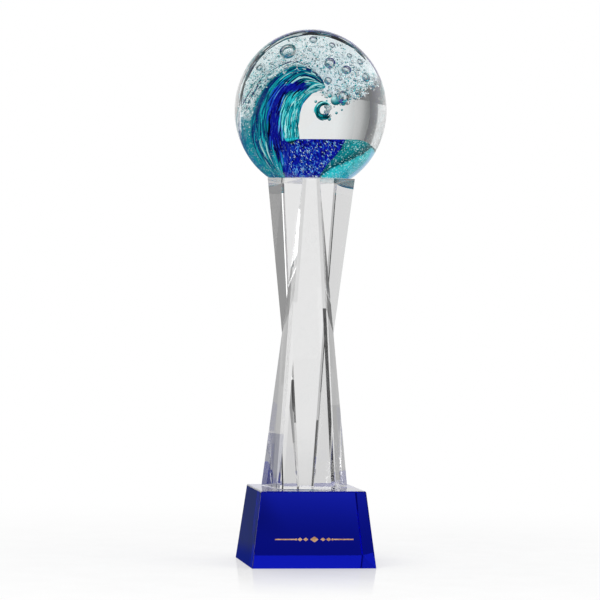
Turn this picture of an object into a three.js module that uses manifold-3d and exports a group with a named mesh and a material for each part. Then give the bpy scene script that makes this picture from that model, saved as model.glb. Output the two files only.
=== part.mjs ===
// Glass award: a blue crystal base, a tower of two crossed clear wedges and a glass ball with a wave inside.
// Millimetres, +Z up, front towards -Y. The origin is the centre of the base's underside.
import * as THREE from 'three';
import { ConvexGeometry } from 'three/addons/geometries/ConvexGeometry.js';
import * as BufferGeometryUtils from 'three/addons/utils/BufferGeometryUtils.js';
import Module from 'manifold-3d';

const wasm = await Module();
wasm.setup();

const mergeDistance = 1e-4;

// Base block
const baseFootWidth = 65;
const baseTopWidth = 55;
const baseHeight = 39.5;
const baseBevel = 0.9;

// Divider ornament, colour filled into the front face
const fillThickness = 0.4;
const fillClearance = 0.3;
const pocketOverrun = 1;
const dividerHeight = 15;
const ruleLength = 11;
const ruleWidth = 0.6;
const ruleStart = 9.5;
const ruleDotRadius = 0.55;
const bigDiamond = { halfWidth: 2.2, halfHeight: 1.5 };
const smallDiamond = { halfWidth: 1.35, halfHeight: 0.9 };
const diamondPitchInner = 4.5;
const diamondPitchOuter = 7.5;

// Tower of two equal wedges, one upright in front and one upside down behind it
const towerHeight = 162;
const towerDepth = 34;
const wedgeWideWidth = 45.5;
const wedgeNarrowWidth = 28;
const wedgeTipWidth = 8;
const wedgeTipFlat = 1.4;
const towerTurn = -6;

// Clear adhesive films
const endFilm = 0.25;
const endFilmInset = 0.5;
const wedgeFilm = 0.2;
const wedgeFilmClearance = 0.25;
const wedgeFilmInset = 0.6;

// Ball, taller than wide, with a ground flat foot
const ballRadius = 40;
const ballHalfHeight = 42.5;
const ballFootDrop = 36;
const casingWall = 9;
const coreFootOverrun = 2;
const ballSides = 40;
const ballRings = 20;

// Coloured glass inside the ball; values with share in their name are shares of the core radius
const glassClearance = 0.3;
const curlPathShares = [
  [0.16, 0.27], [-0.01, 0.335], [-0.21, 0.26], [-0.365, 0.045], [-0.435, -0.245], [-0.43, -0.62], [-0.38, -0.98],
];
const curlThicknessShares = [0.02, 0.146, 0.23, 0.269, 0.298, 0.24, 0.14];
const curlDepthShares = [0.1, 0.26, 0.4, 0.49, 0.53, 0.54, 0.46];
const curlSquareness = 0.6;
const curlSteps = 18;
const curlSides = 10;
const faceBandShare = 0.36;
const curlBandShare = 0.72;
const poolTopShare = -0.42;
const poolWidthShare = 0.9;
const poolDepthShare = 0.63;
const poolLeftLine = { topShare: -0.16, footShare: -0.36 };
const poolSplitLine = { topShare: 0.36, footShare: 0.12 };
const foamInnerShare = 0.6;
const foamOuterShare = 0.92;
const foamAngle = 64;
const foamTilt = 25;
const foamSides = 28;
const foamSteps = 7;

// Places worked out from the sizes above
const towerBase = baseHeight + endFilm;
const towerTop = towerBase + towerHeight;
const ballCentre = towerTop + endFilm + ballFootDrop;
const coreRadius = ballRadius - casingWall;
const coreHalfHeight = ballFootDrop + coreFootOverrun;
const frontLean = Math.atan((baseFootWidth - baseTopWidth) / 2 / baseHeight);

// Materials
function glass(color, roughness, opacity = 1) {
  const transparent = opacity < 1;
  return new THREE.MeshStandardMaterial({ color, roughness, metalness: 0, transparent, opacity });
}
const materials = {
  blueCrystal: () => glass(0x0b1fa8, 0.05, 0.85),
  clearCrystal: () => glass(0xe9edf0, 0.03, 0.4),
  clearGlass: () => glass(0xe4ecee, 0.03, 0.3),
  adhesive: () => glass(0xf4f6f6, 0.2, 0.5),
  goldFill: () => glass(0xd9a673, 0.5),
  cobaltGlass: () => glass(0x0d149a, 0.1),
  aquaGlass: () => glass(0x28c8d4, 0.1),
  tealGlass: () => glass(0x0e8f9c, 0.1),
  foamGlass: () => glass(0xdfeeee, 0.3, 0.8),
};

// Keeps only the positions and joins the points that meet
function welded(geometry) {
  const bare = geometry.clone();
  bare.deleteAttribute('normal');
  bare.deleteAttribute('uv');
  return BufferGeometryUtils.mergeVertices(bare, mergeDistance);
}

// Solids from meshes and back again
function toSolid(geometry) {
  const merged = welded(geometry);
  const mesh = new wasm.Mesh({
    numProp: 3,
    vertProperties: new Float32Array(merged.attributes.position.array),
    triVerts: new Uint32Array(merged.index.array),
  });
  return new wasm.Manifold(mesh);
}

function toGeometry(solid) {
  const mesh = solid.getMesh();
  const geometry = new THREE.BufferGeometry();
  geometry.setAttribute('position', new THREE.BufferAttribute(new Float32Array(mesh.vertProperties), 3));
  geometry.setIndex(new THREE.BufferAttribute(new Uint32Array(mesh.triVerts), 1));
  geometry.computeVertexNormals();
  return geometry;
}

function largestPiece(solid) {
  const pieces = solid.decompose();
  return pieces.reduce((best, piece) => (piece.volume() > best.volume() ? piece : best));
}

function hull(points) {
  return new ConvexGeometry(points.map((p) => new THREE.Vector3(...p)));
}

function slab(outline, thickness) {
  const shape = new THREE.Shape(outline.map((p) => new THREE.Vector2(...p)));
  return new THREE.ExtrudeGeometry(shape, { depth: thickness, bevelEnabled: false });
}

function named(name, geometry, material) {
  const mesh = new THREE.Mesh(geometry, material);
  mesh.name = name;
  return mesh;
}

// Base block: a square frustum with polished bevels along its upright and top edges
function baseSolid() {
  const slope = (baseFootWidth - baseTopWidth) / 2 / baseHeight;
  const halfWidthAt = (z) => baseFootWidth / 2 - slope * z;
  const points = [];
  const levels = [[0, 0], [baseHeight - baseBevel, 0], [baseHeight, baseBevel]];
  for (const [z, inset] of levels) {
    const outer = halfWidthAt(z) - inset;
    const cut = outer - baseBevel;
    for (const [sx, sy] of [[1, 1], [-1, 1], [-1, -1], [1, -1]]) {
      points.push([sx * outer, sy * cut, z]);
      points.push([sx * cut, sy * outer, z]);
    }
  }
  return toSolid(hull(points));
}

// Divider outlines lie in the plane of the front face, with x across and y up the face
function diamondOutline(x, size, grow) {
  const w = size.halfWidth + grow;
  const h = size.halfHeight + grow;
  return [[x - w, 0], [x, -h], [x + w, 0], [x, h]];
}

function ruleOutline(side, grow) {
  const half = ruleWidth / 2 + grow;
  const dot = ruleDotRadius + grow;
  const dotSides = 6;
  const inner = [];
  const first = Math.asin(half / dot);
  for (let i = 0; i <= dotSides; i += 1) {
    const angle = first + (2 * (Math.PI - first) * i) / dotSides;
    inner.push([ruleStart + dot * Math.cos(angle), dot * Math.sin(angle)]);
  }
  const outline = [...inner, [ruleStart + ruleLength + grow, -half], [ruleStart + ruleLength + grow, half]];
  return outline.map(([x, y]) => [side * x, y]);
}

function dividerPieces(grow) {
  const pieces = [
    { name: 'rule_left', outline: ruleOutline(-1, grow) },
    { name: 'rule_right', outline: ruleOutline(1, grow) },
  ];
  const places = [-diamondPitchOuter, -diamondPitchInner, 0, diamondPitchInner, diamondPitchOuter];
  places.forEach((x, i) => {
    const size = x === 0 ? bigDiamond : smallDiamond;
    pieces.push({ name: `diamond_${i + 1}`, outline: diamondOutline(x, size, grow) });
  });
  return pieces;
}

// Turns an outline on the front face into a slab that starts outside or flush and runs into the block
function onFrontFace(outline, from, to) {
  const geometry = slab(outline, to - from);
  geometry.rotateX(Math.PI / 2);
  geometry.translate(0, to, dividerHeight);
  geometry.rotateX(-frontLean);
  geometry.translate(0, -baseFootWidth / 2, 0);
  return geometry;
}

function buildBase() {
  const group = new THREE.Group();
  let block = baseSolid();
  for (const piece of dividerPieces(fillClearance)) {
    const pocket = toSolid(onFrontFace(piece.outline, -pocketOverrun, fillThickness + fillClearance));
    block = block.subtract(pocket);
  }
  group.add(named('base_block', toGeometry(block), materials.blueCrystal()));
  for (const piece of dividerPieces(0)) {
    const fill = toGeometry(toSolid(onFrontFace(piece.outline, 0, fillThickness)));
    group.add(named(piece.name, fill, materials.goldFill()));
  }
  return group;
}

// Tower. The joint between the wedges runs from the top front edge to the bottom back edge.
const jointRun = towerDepth - 2 * wedgeTipFlat;
const jointAngle = Math.atan(jointRun / towerHeight);
const jointGap = wedgeFilm + 2 * wedgeFilmClearance;
const jointGapAlongDepth = jointGap / Math.cos(jointAngle);

// One wedge stands on its wide foot; its front face is upright and narrows to the tip
function wedgePoints() {
  const front = -towerDepth / 2;
  const back = towerDepth / 2 - wedgeTipFlat - jointGapAlongDepth / 2;
  const tipBack = front + wedgeTipFlat - jointGapAlongDepth / 2;
  const tipSpread = (((wedgeWideWidth - wedgeNarrowWidth) / 2) * (tipBack - front)) / (back - front);
  return [
    [-wedgeNarrowWidth / 2, front, 0],
    [wedgeNarrowWidth / 2, front, 0],
    [-wedgeWideWidth / 2, back, 0],
    [wedgeWideWidth / 2, back, 0],
    [-wedgeTipWidth / 2, front, towerHeight],
    [wedgeTipWidth / 2, front, towerHeight],
    [-wedgeTipWidth / 2 - tipSpread, tipBack, towerHeight],
    [wedgeTipWidth / 2 + tipSpread, tipBack, towerHeight],
  ];
}

function turnedOver(points) {
  return points.map(([x, y, z]) => [x, -y, towerHeight - z]);
}

// Film between the wedges: where their two joint faces overlap, seen square to the depth
function wedgeFilmGeometry() {
  const halfAt = (z) => {
    const share = z / towerHeight;
    const upright = (wedgeWideWidth / 2) * (1 - share) + (wedgeTipWidth / 2) * share;
    const inverted = (wedgeWideWidth / 2) * share + (wedgeTipWidth / 2) * (1 - share);
    return Math.min(upright, inverted) - wedgeFilmInset;
  };
  const points = [];
  const filmAlongDepth = wedgeFilm / Math.cos(jointAngle);
  for (const z of [wedgeFilmInset, towerHeight / 2, towerHeight - wedgeFilmInset]) {
    const centre = jointRun / 2 - (jointRun * z) / towerHeight;
    for (const side of [-1, 1]) {
      points.push([side * halfAt(z), centre - filmAlongDepth / 2, z]);
      points.push([side * halfAt(z), centre + filmAlongDepth / 2, z]);
    }
  }
  return hull(points);
}

// Outline of the glass that meets a film at the tower's foot; the top is the same turned over
function endOutline(inset, flip) {
  const front = -towerDepth / 2 + inset;
  const seam = towerDepth / 2 - wedgeTipFlat - jointGapAlongDepth / 2 - inset;
  const back = towerDepth / 2 - inset;
  const narrow = wedgeNarrowWidth / 2 - inset;
  const wide = wedgeWideWidth / 2 - inset;
  const tip = wedgeTipWidth / 2 - inset;
  const right = [[narrow, front], [wide, seam], [tip, back]];
  const left = right.map(([x, y]) => [-x, y]).reverse();
  return [...right, ...left].map(([x, y]) => [x, flip ? -y : y]);
}

function ballFootRadius() {
  const share = ballFootDrop / ballHalfHeight;
  return ballRadius * Math.sqrt(1 - share * share);
}

function buildTower() {
  const group = new THREE.Group();
  group.rotation.z = THREE.MathUtils.degToRad(towerTurn);
  const upright = wedgePoints();
  const footFilm = named('foot_bond', slab(endOutline(endFilmInset, false), endFilm), materials.adhesive());
  footFilm.position.z = baseHeight;
  const front = named('front_wedge', hull(upright), materials.clearCrystal());
  const rear = named('rear_wedge', hull(turnedOver(upright)), materials.clearCrystal());
  const joint = named('wedge_bond', wedgeFilmGeometry(), materials.adhesive());
  for (const piece of [front, rear, joint]) {
    piece.position.z = towerBase;
  }
  const topOutline = toSolid(slab(endOutline(endFilmInset, true), endFilm));
  const discRadius = ballFootRadius() - endFilmInset;
  const disc = new THREE.CylinderGeometry(discRadius, discRadius, 4 * endFilm, ballSides);
  disc.rotateX(Math.PI / 2);
  const topFilm = named('ball_bond', toGeometry(topOutline.intersect(toSolid(disc))), materials.adhesive());
  topFilm.position.z = towerTop;
  group.add(footFilm, front, rear, joint, topFilm);
  return group;
}

// An ellipsoid with a flat foot
function ellipsoid(halfWidth, halfDepth, halfHeight, footDrop) {
  const profile = [];
  const start = Math.asin(Math.min(1, footDrop / halfHeight));
  for (let i = 0; i <= ballRings; i += 1) {
    const angle = -start + ((start + Math.PI / 2) * i) / ballRings;
    const across = i === ballRings ? 0 : halfWidth * Math.cos(angle);
    profile.push(new THREE.Vector2(across, halfHeight * Math.sin(angle)));
  }
  if (profile[0].x > 0) {
    profile.unshift(new THREE.Vector2(0, profile[0].y));
  }
  const geometry = new THREE.LatheGeometry(profile, ballSides);
  geometry.rotateX(Math.PI / 2);
  geometry.scale(1, halfDepth / halfWidth, 1);
  return geometry;
}

// Value of a list at a share of the way along it, blended smoothly
function along(values, share) {
  const place = Math.min(share, 0.99999) * (values.length - 1);
  const index = Math.floor(place);
  const t = place - index;
  const smooth = t * t * (3 - 2 * t);
  return values[index] * (1 - smooth) + values[index + 1] * smooth;
}

// One layer of the curl: a band between two shares of its thickness, swept from the lip to the pool
function curlBand(fromShare, toShare, grow) {
  const curve = new THREE.CatmullRomCurve3(curlPathShares.map(([x, z]) => new THREE.Vector3(x, 0, z)));
  const positions = [];
  for (let i = 0; i <= curlSteps; i += 1) {
    const share = i / curlSteps;
    const point = curve.getPoint(share).multiplyScalar(coreRadius);
    const tangent = curve.getTangent(share);
    const outward = new THREE.Vector3(tangent.z, 0, -tangent.x);
    const half = along(curlThicknessShares, share) * coreRadius;
    const low = half * (2 * fromShare - 1);
    const high = half * (2 * toShare - 1);
    const middle = point.clone().addScaledVector(outward, (low + high) / 2);
    const endRun = i === 0 ? -grow : i === curlSteps ? grow : 0;
    middle.addScaledVector(tangent, endRun);
    const thick = (high - low) / 2 + grow - (grow > 0 ? 0 : glassClearance / 2);
    const depth = along(curlDepthShares, share) * coreRadius + grow;
    for (let j = 0; j < curlSides; j += 1) {
      const angle = (2 * Math.PI * (j + 0.5)) / curlSides;
      const across = Math.sign(Math.cos(angle)) * Math.abs(Math.cos(angle)) ** curlSquareness * thick;
      const deep = Math.sin(angle) * depth;
      positions.push(middle.x + outward.x * across, deep, middle.z + outward.z * across);
    }
  }
  return tubeGeometry(positions, curlSteps, curlSides);
}

// Closes rings of points into a tube with flat ends
function tubeGeometry(positions, steps, sides) {
  const index = [];
  for (let i = 0; i < steps; i += 1) {
    for (let j = 0; j < sides; j += 1) {
      const a = i * sides + j;
      const b = i * sides + ((j + 1) % sides);
      index.push(a, b, b + sides, a, b + sides, a + sides);
    }
  }
  const last = steps * sides;
  for (let j = 1; j < sides - 1; j += 1) {
    index.push(0, j + 1, j);
    index.push(last, last + j, last + j + 1);
  }
  const geometry = new THREE.BufferGeometry();
  geometry.setAttribute('position', new THREE.BufferAttribute(new Float32Array(positions), 3));
  geometry.setIndex(index);
  return facingOut(geometry);
}

// Turns a closed mesh the right way out when its volume comes out negative
function facingOut(geometry) {
  const p = geometry.attributes.position;
  const index = geometry.index;
  const v = [0, 1, 2].map(() => new THREE.Vector3());
  let volume = 0;
  for (let i = 0; i < index.count; i += 3) {
    v.forEach((corner, k) => corner.fromBufferAttribute(p, index.getX(i + k)));
    volume += v[0].dot(v[1].cross(v[2]));
  }
  if (volume < 0) {
    const flipped = [];
    for (let i = 0; i < index.count; i += 3) {
      flipped.push(index.getX(i), index.getX(i + 2), index.getX(i + 1));
    }
    geometry.setIndex(flipped);
  }
  return geometry;
}

// Pool region: the lower part of the core, from the wave's inner side and up to the pool's surface
function poolSolid(grow) {
  const halfWidth = poolWidthShare * coreRadius + grow;
  const halfDepth = poolDepthShare * coreRadius + grow;
  const core = toSolid(ellipsoid(halfWidth, halfDepth, coreHalfHeight + grow, ballFootDrop));
  const height = poolTopShare * coreRadius + grow + ballHalfHeight;
  const keep = new THREE.BoxGeometry(2 * ballRadius, 2 * ballRadius, height);
  keep.translate(0, 0, height / 2 - ballHalfHeight);
  return core.intersect(toSolid(keep)).intersect(poolSide(poolLeftLine, 1, -grow));
}

// All that lies on one side of a slanted line in the pool, with the line itself moved to the right by shift
function poolSide(line, side, shift) {
  const reach = 2 * ballRadius;
  const drop = poolTopShare * coreRadius + ballFootDrop;
  const slope = ((line.topShare - line.footShare) * coreRadius) / drop;
  const topEdge = line.topShare * coreRadius + shift;
  const edge = (z) => topEdge + slope * (z - poolTopShare * coreRadius);
  const far = side * 2 * reach;
  const outline = [[edge(-reach), -reach], [edge(reach), reach], [far, reach], [far, -reach]];
  const geometry = slab(side > 0 ? outline.reverse() : outline, 2 * reach);
  geometry.translate(0, 0, -reach);
  geometry.rotateX(Math.PI / 2);
  return toSolid(geometry);
}

// Foam: a cap of fine bubbles and pale grains that leans over the crest
function foamSolid(grow) {
  const inner = foamInnerShare * coreRadius - grow;
  const outer = foamOuterShare * coreRadius + grow;
  const angle = THREE.MathUtils.degToRad(foamAngle) + grow / outer;
  const profile = [];
  for (let i = 0; i <= foamSteps; i += 1) {
    const a = (angle * i) / foamSteps;
    profile.push(new THREE.Vector2(i === 0 ? 0 : outer * Math.sin(a), outer * Math.cos(a)));
  }
  for (let i = foamSteps; i >= 0; i -= 1) {
    const a = (angle * i) / foamSteps;
    profile.push(new THREE.Vector2(i === 0 ? 0 : inner * Math.sin(a), inner * Math.cos(a)));
  }
  const geometry = new THREE.LatheGeometry(profile, foamSides);
  geometry.rotateX(Math.PI / 2);
  geometry.rotateY(-THREE.MathUtils.degToRad(foamTilt));
  return toSolid(facingOut(welded(geometry)));
}

function buildBall() {
  const group = new THREE.Group();
  group.position.z = ballCentre;
  group.rotation.z = THREE.MathUtils.degToRad(towerTurn);
  const bands = [
    { name: 'wave_face', from: 0, to: faceBandShare, material: materials.aquaGlass },
    { name: 'wave_curl', from: faceBandShare, to: curlBandShare, material: materials.cobaltGlass },
    { name: 'wave_back', from: curlBandShare, to: 1, material: materials.tealGlass },
  ];
  const curlRoom = bands
    .map((band) => toSolid(curlBand(band.from, band.to, glassClearance)))
    .reduce((all, band) => all.add(band));
  for (const band of bands) {
    group.add(named(band.name, toGeometry(toSolid(curlBand(band.from, band.to, 0))), band.material()));
  }
  const pool = poolSolid(0).subtract(curlRoom);
  const left = largestPiece(pool.intersect(poolSide(poolSplitLine, -1, -glassClearance / 2)));
  const right = largestPiece(pool.intersect(poolSide(poolSplitLine, 1, glassClearance / 2)));
  group.add(named('cobalt_pool', toGeometry(left), materials.cobaltGlass()));
  group.add(named('teal_pool', toGeometry(right), materials.tealGlass()));
  const foam = largestPiece(foamSolid(0).subtract(curlRoom));
  group.add(named('foam_layer', toGeometry(foam), materials.foamGlass()));
  const room = poolSolid(glassClearance).add(curlRoom).add(foamSolid(glassClearance));
  const outside = toSolid(ellipsoid(ballRadius, ballRadius, ballHalfHeight, ballFootDrop));
  group.add(named('ball_casing', toGeometry(largestPiece(outside.subtract(room))), materials.clearGlass()));
  return group;
}

const award = new THREE.Group();
award.add(buildBase(), buildTower(), buildBall());

export default award;
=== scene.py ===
import math
from contextlib import contextmanager

import bmesh
import bpy
import numpy as np
from mathutils import Matrix, Vector
from mathutils.geometry import tessellate_polygon


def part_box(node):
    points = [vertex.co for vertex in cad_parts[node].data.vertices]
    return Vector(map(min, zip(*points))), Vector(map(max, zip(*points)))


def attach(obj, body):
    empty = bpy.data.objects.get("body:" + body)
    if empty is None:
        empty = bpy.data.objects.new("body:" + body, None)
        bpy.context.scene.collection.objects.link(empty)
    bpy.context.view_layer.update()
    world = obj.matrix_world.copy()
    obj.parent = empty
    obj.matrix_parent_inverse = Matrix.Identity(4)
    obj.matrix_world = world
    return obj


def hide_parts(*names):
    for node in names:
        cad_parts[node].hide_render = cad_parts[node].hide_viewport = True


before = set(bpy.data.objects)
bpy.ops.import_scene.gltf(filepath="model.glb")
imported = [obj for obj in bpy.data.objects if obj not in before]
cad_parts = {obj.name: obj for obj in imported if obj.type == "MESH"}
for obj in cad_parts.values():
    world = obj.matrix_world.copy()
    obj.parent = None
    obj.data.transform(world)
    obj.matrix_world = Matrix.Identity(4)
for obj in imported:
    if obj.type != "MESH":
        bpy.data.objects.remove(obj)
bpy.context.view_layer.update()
scene = bpy.context.scene
mm = 0.001
seed = 20
print("frame loaded")


# Shader maths: a Link wraps a node's output, so that 1 - mask * 2 adds its own Math nodes
class Link:
    def __init__(self, nodes, socket):
        self.nodes = nodes
        self.socket = socket

    def maths(self, operation, first, second=0.0, clamp=False):
        settings = {"operation": operation, "use_clamp": clamp}
        return self.nodes.add("Math", settings, {0: first, 1: second})

    def __add__(self, other):
        return self.maths("ADD", self, other)

    def __radd__(self, other):
        return self.maths("ADD", other, self)

    def __sub__(self, other):
        return self.maths("SUBTRACT", self, other)

    def __rsub__(self, other):
        return self.maths("SUBTRACT", other, self)

    def __mul__(self, other):
        return self.maths("MULTIPLY", self, other)

    def __rmul__(self, other):
        return self.maths("MULTIPLY", other, self)

    def __truediv__(self, other):
        return self.maths("DIVIDE", self, other)

    def clamped(self):
        return self.maths("ADD", self, 0.0, clamp=True)

    def spread(self, least, more):
        # least where this is 0, and that much more where it is 1
        return self * more + least

    def rise(self, low, high):
        # 0 below low, 1 above high, smooth between
        settings = {"interpolation_type": "SMOOTHSTEP"}
        return self.nodes.add("MapRange", settings, {"Value": self, "From Min": low, "From Max": high})


def grey(level):
    return (level, level, level, 1.0)


# A color written as on screen, turned into Blender's linear values
def paint(text):
    channels = [int(text[i:i + 2], 16) / 255 for i in (1, 3, 5)]
    linear = [c / 12.92 if c <= 0.04045 else ((c + 0.055) / 1.055) ** 2.4 for c in channels]
    return (*linear, 1.0)


class Nodes:
    def __init__(self, owner):
        owner.use_nodes = True
        self.owner = owner
        self.tree = owner.node_tree
        self.tree.nodes.clear()

    # The one way to a new node: its type, its settings, the values or links of its sockets, and which output
    # to give back. Text as a value is a color.
    def add(self, kind, settings=None, sockets=None, output=0):
        node = self.tree.nodes.new("ShaderNode" + kind)
        for name, value in (settings or {}).items():
            if name == "stops":
                self.setStops(node.color_ramp, value)
            else:
                setattr(node, name, value)
        for key, value in (sockets or {}).items():
            if isinstance(value, Link):
                self.tree.links.new(value.socket, node.inputs[key])
            else:
                node.inputs[key].default_value = paint(value) if isinstance(value, str) else value
        return Link(self, node.outputs[output]) if len(node.outputs) else None

    def setStops(self, ramp, stops):
        while len(ramp.elements) < len(stops):
            ramp.elements.new(1.0)
        for element, (place, color) in zip(ramp.elements, stops):
            element.position = place
            element.color = paint(color) if isinstance(color, str) else grey(color)

    def ramp(self, value, stops):
        return self.add("ValToRGB", {"stops": stops}, {"Fac": value})

    def blend(self, factor, first, second, kind="MIX"):
        settings = {"data_type": "RGBA", "blend_type": kind, "clamp_factor": True}
        return self.add("Mix", settings, {0: factor, 6: first, 7: second}, output=2)

    def mixShaders(self, factor, first, second):
        return self.add("MixShader", {}, {"Fac": factor, 1: first, 2: second})

    def seeThrough(self, tint="#ffffff"):
        return self.add("BsdfTransparent", {}, {"Color": tint})

    def light(self, kind, color, strength=1.0):
        return self.add(kind, {}, {"Color": color, "Strength": strength})

    def ray(self, kind):
        return self.add("LightPath", output=f"Is {kind} Ray")

    def attribute(self, name, output="Vector"):
        return self.add("Attribute", {"attribute_name": name}, {}, output=output)

    def objectPlace(self):
        return self.add("TexCoord", output="Object")

    def part(self, vector, axis):
        return self.add("SeparateXYZ", {}, {0: vector}, output=axis)

    def stretched(self, vector, scale):
        return self.add("VectorMath", {"operation": "MULTIPLY"}, {0: vector, 1: scale})

    def noise(self, vector, scale, detail=2.0, roughness=0.5, distortion=0.0):
        sockets = {"Vector": vector, "Scale": scale, "Detail": detail, "Roughness": roughness,
                   "Distortion": distortion}
        return self.add("TexNoise", {}, sockets, output="Fac")

    def bump(self, height, strength, distance):
        return self.add("Bump", {}, {"Strength": strength, "Distance": distance, "Height": height})

    def principled(self, **sockets):
        names = {"color": "Base Color", "rough": "Roughness", "metal": "Metallic", "ior": "IOR",
                 "alpha": "Alpha", "normal": "Normal", "specular": "Specular IOR Level",
                 "transmission": "Transmission Weight", "glow": "Emission Color",
                 "glowStrength": "Emission Strength"}
        return self.add("BsdfPrincipled", {}, {names[key]: value for key, value in sockets.items()})

    def output(self, surface, volume=None, kind="OutputMaterial"):
        self.add(kind, {}, {"Surface": surface, "Volume": volume} if volume else {"Surface": surface})
        return self.owner


def newMaterial(name):
    return Nodes(bpy.data.materials.new(name))


# Lets lamp light and soft bounce light straight through glass, so that what is inside is lit evenly
def litThrough(nodes, glass, tint):
    clear = nodes.seeThrough(tint)
    forSoft = nodes.mixShaders(nodes.ray("Diffuse"), glass, clear)
    return nodes.mixShaders(nodes.ray("Shadow"), forSoft, clear)


# Faint wipe marks in a polish
def wipeMarks(nodes, vector, look):
    wipe = nodes.noise(vector, look["wipeScale"], 4.0, 0.6)
    return wipe.rise(0.55, 0.8) * look["wipeRoughness"]


# Polished clear glass: almost perfect, with wipe marks in its polish and a trace of waviness
def clearGlass(name, look):
    nodes = newMaterial(name)
    spot = nodes.objectPlace()
    rough = wipeMarks(nodes, nodes.stretched(spot, look["wipeStretch"]), look)
    normal = nodes.bump(nodes.noise(spot, look["waveScale"], 1.0), look["waveStrength"], look["waveDepth"])
    glass = nodes.principled(color=look["color"], rough=rough, ior=look["ior"], transmission=1.0,
                             normal=normal)
    return nodes.output(litThrough(nodes, glass, look["shadowColor"]))


glassIndex = 1.52
crystalLook = {
    "color": "#ffffff", "ior": glassIndex, "shadowColor": "#eceef0",
    "wipeScale": 45.0, "wipeStretch": (1.0, 1.0, 0.35), "wipeRoughness": 0.004,
    "waveScale": 25.0, "waveStrength": 0.02, "waveDepth": 0.00005,
}
casingLook = {
    "color": "#fdffff", "ior": glassIndex, "shadowColor": "#f2f5f6",
    "wipeScale": 60.0, "wipeStretch": (1.0, 1.0, 0.35), "wipeRoughness": 0.004,
    "waveScale": 40.0, "waveStrength": 0.03, "waveDepth": 0.0001,
}
crystalMaterial = clearGlass("clearCrystal", crystalLook)
casingMaterial = clearGlass("casingGlass", casingLook)


# Bonded faces: light crosses them without bending
def bondedMaterial():
    nodes = newMaterial("bondedJoint")
    return nodes.output(nodes.seeThrough())


jointMaterial = bondedMaterial()

# Clear cured adhesive, all but invisible, with a trace of haze in patches
adhesiveLook = {"color": "#f4f8f8", "haze": 0.03, "hazeEdge": (0.45, 0.75), "patchScale": 90.0}


def adhesiveMaterial(look):
    nodes = newMaterial("adhesive")
    patch = nodes.noise(nodes.objectPlace(), look["patchScale"], 3.0)
    veil = nodes.principled(color=look["color"], rough=0.3, specular=0.2)
    haze = patch.rise(*look["hazeEdge"]) * look["haze"]
    return nodes.output(nodes.mixShaders(haze, nodes.seeThrough(), veil))


# Deep cobalt crystal: the color comes from the depth of glass that light crosses
blueLook = {
    "absorbColor": (0.10, 0.24, 0.90, 1.0), "absorbDensity": 90.0, "ior": glassIndex,
    "shadowColor": "#5560b8", "wipeScale": 60.0, "wipeRoughness": 0.004,
}


def blueCrystal(look):
    nodes = newMaterial("blueCrystal")
    rough = wipeMarks(nodes, nodes.objectPlace(), look)
    glass = nodes.principled(color="#ffffff", rough=rough, ior=look["ior"], transmission=1.0)
    sockets = {"Color": look["absorbColor"], "Density": look["absorbDensity"]}
    depth = nodes.add("VolumeAbsorption", {}, sockets)
    return nodes.output(litThrough(nodes, glass, look["shadowColor"]), depth)


# Gold paint rubbed into the engraving: fine sand-blasted grain and uneven cover
goldLook = {
    "light": "#e3b98a", "dark": "#b98657", "grainScale": 2600.0, "patchScale": 420.0, "cover": (0.35, 0.65),
    "relief": (0.35, 0.0001), "metal": 0.15, "rough": (0.4, 0.25),
}


def goldFill(look):
    nodes = newMaterial("goldFill")
    spot = nodes.objectPlace()
    grain = nodes.noise(spot, look["grainScale"], 2.0)
    patch = nodes.noise(spot, look["patchScale"], 3.0)
    color = nodes.blend((patch * 0.6 + grain * 0.4).rise(*look["cover"]), look["dark"], look["light"])
    return nodes.output(nodes.principled(color=color, rough=grain.spread(*look["rough"]), metal=look["metal"],
                                         specular=0.4, normal=nodes.bump(grain, *look["relief"])))


# Opens a mesh for editing and writes it back
@contextmanager
def opened(mesh):
    work = bmesh.new()
    work.from_mesh(mesh)
    yield work
    work.to_mesh(mesh)
    work.free()


def meshPiece(name, points, faces, materials, smooth=True, attributes=None, merge=0.0):
    mesh = bpy.data.meshes.new(name)
    mesh.from_pydata([tuple(p) for p in points], [], faces)
    for label, (kind, values) in (attributes or {}).items():
        layer = mesh.attributes.new(label, kind, "POINT")
        field = "color" if "COLOR" in kind else "vector"
        layer.data.foreach_set(field, np.asarray(values, np.float32).ravel())
    with opened(mesh) as work:
        if merge > 0:
            bmesh.ops.remove_doubles(work, verts=work.verts[:], dist=merge)
        bmesh.ops.recalc_face_normals(work, faces=work.faces[:])
    mesh.polygons.foreach_set("use_smooth", [smooth] * len(mesh.polygons))
    for material in materials:
        mesh.materials.append(material)
    piece = bpy.data.objects.new(name, mesh)
    scene.collection.objects.link(piece)
    return piece


# Faces between rings of points that all have the same number of sides
def ringFaces(rings, sides):
    starts = [(i * sides + j, i * sides + (j + 1) % sides) for i in range(rings - 1) for j in range(sides)]
    return [(a, b, b + sides, a + sides) for a, b in starts]


# The same, closed at both ends
def tubeFaces(rings, sides):
    ends = [tuple(reversed(range(sides))), tuple(range((rings - 1) * sides, rings * sides))]
    return ringFaces(rings, sides) + ends


def bevelEdges(work, edges, offset, segments):
    bmesh.ops.bevel(work, geom=edges, offset=offset, segments=segments, profile=0.5, affect="EDGES",
                    clamp_overlap=True, material=0)


def place(piece, slot, *nodeNames):
    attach(piece, "root")
    if nodeNames:
        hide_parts(*nodeNames)


# Base block: a square frustum with fine rounded bevels and shallow pockets for the gold fill
baseSizes = {"topWidth": 55 * mm, "bevel": 0.7 * mm, "bevelSteps": 3}
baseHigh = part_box("base_block")[1]
baseFootHalf = baseHigh.x
baseTop = baseHigh.z
frontLean = math.atan((baseFootHalf - baseSizes["topWidth"] / 2) / baseTop)
squareCorners = [(-1, -1), (1, -1), (1, 1), (-1, 1)]

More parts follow.
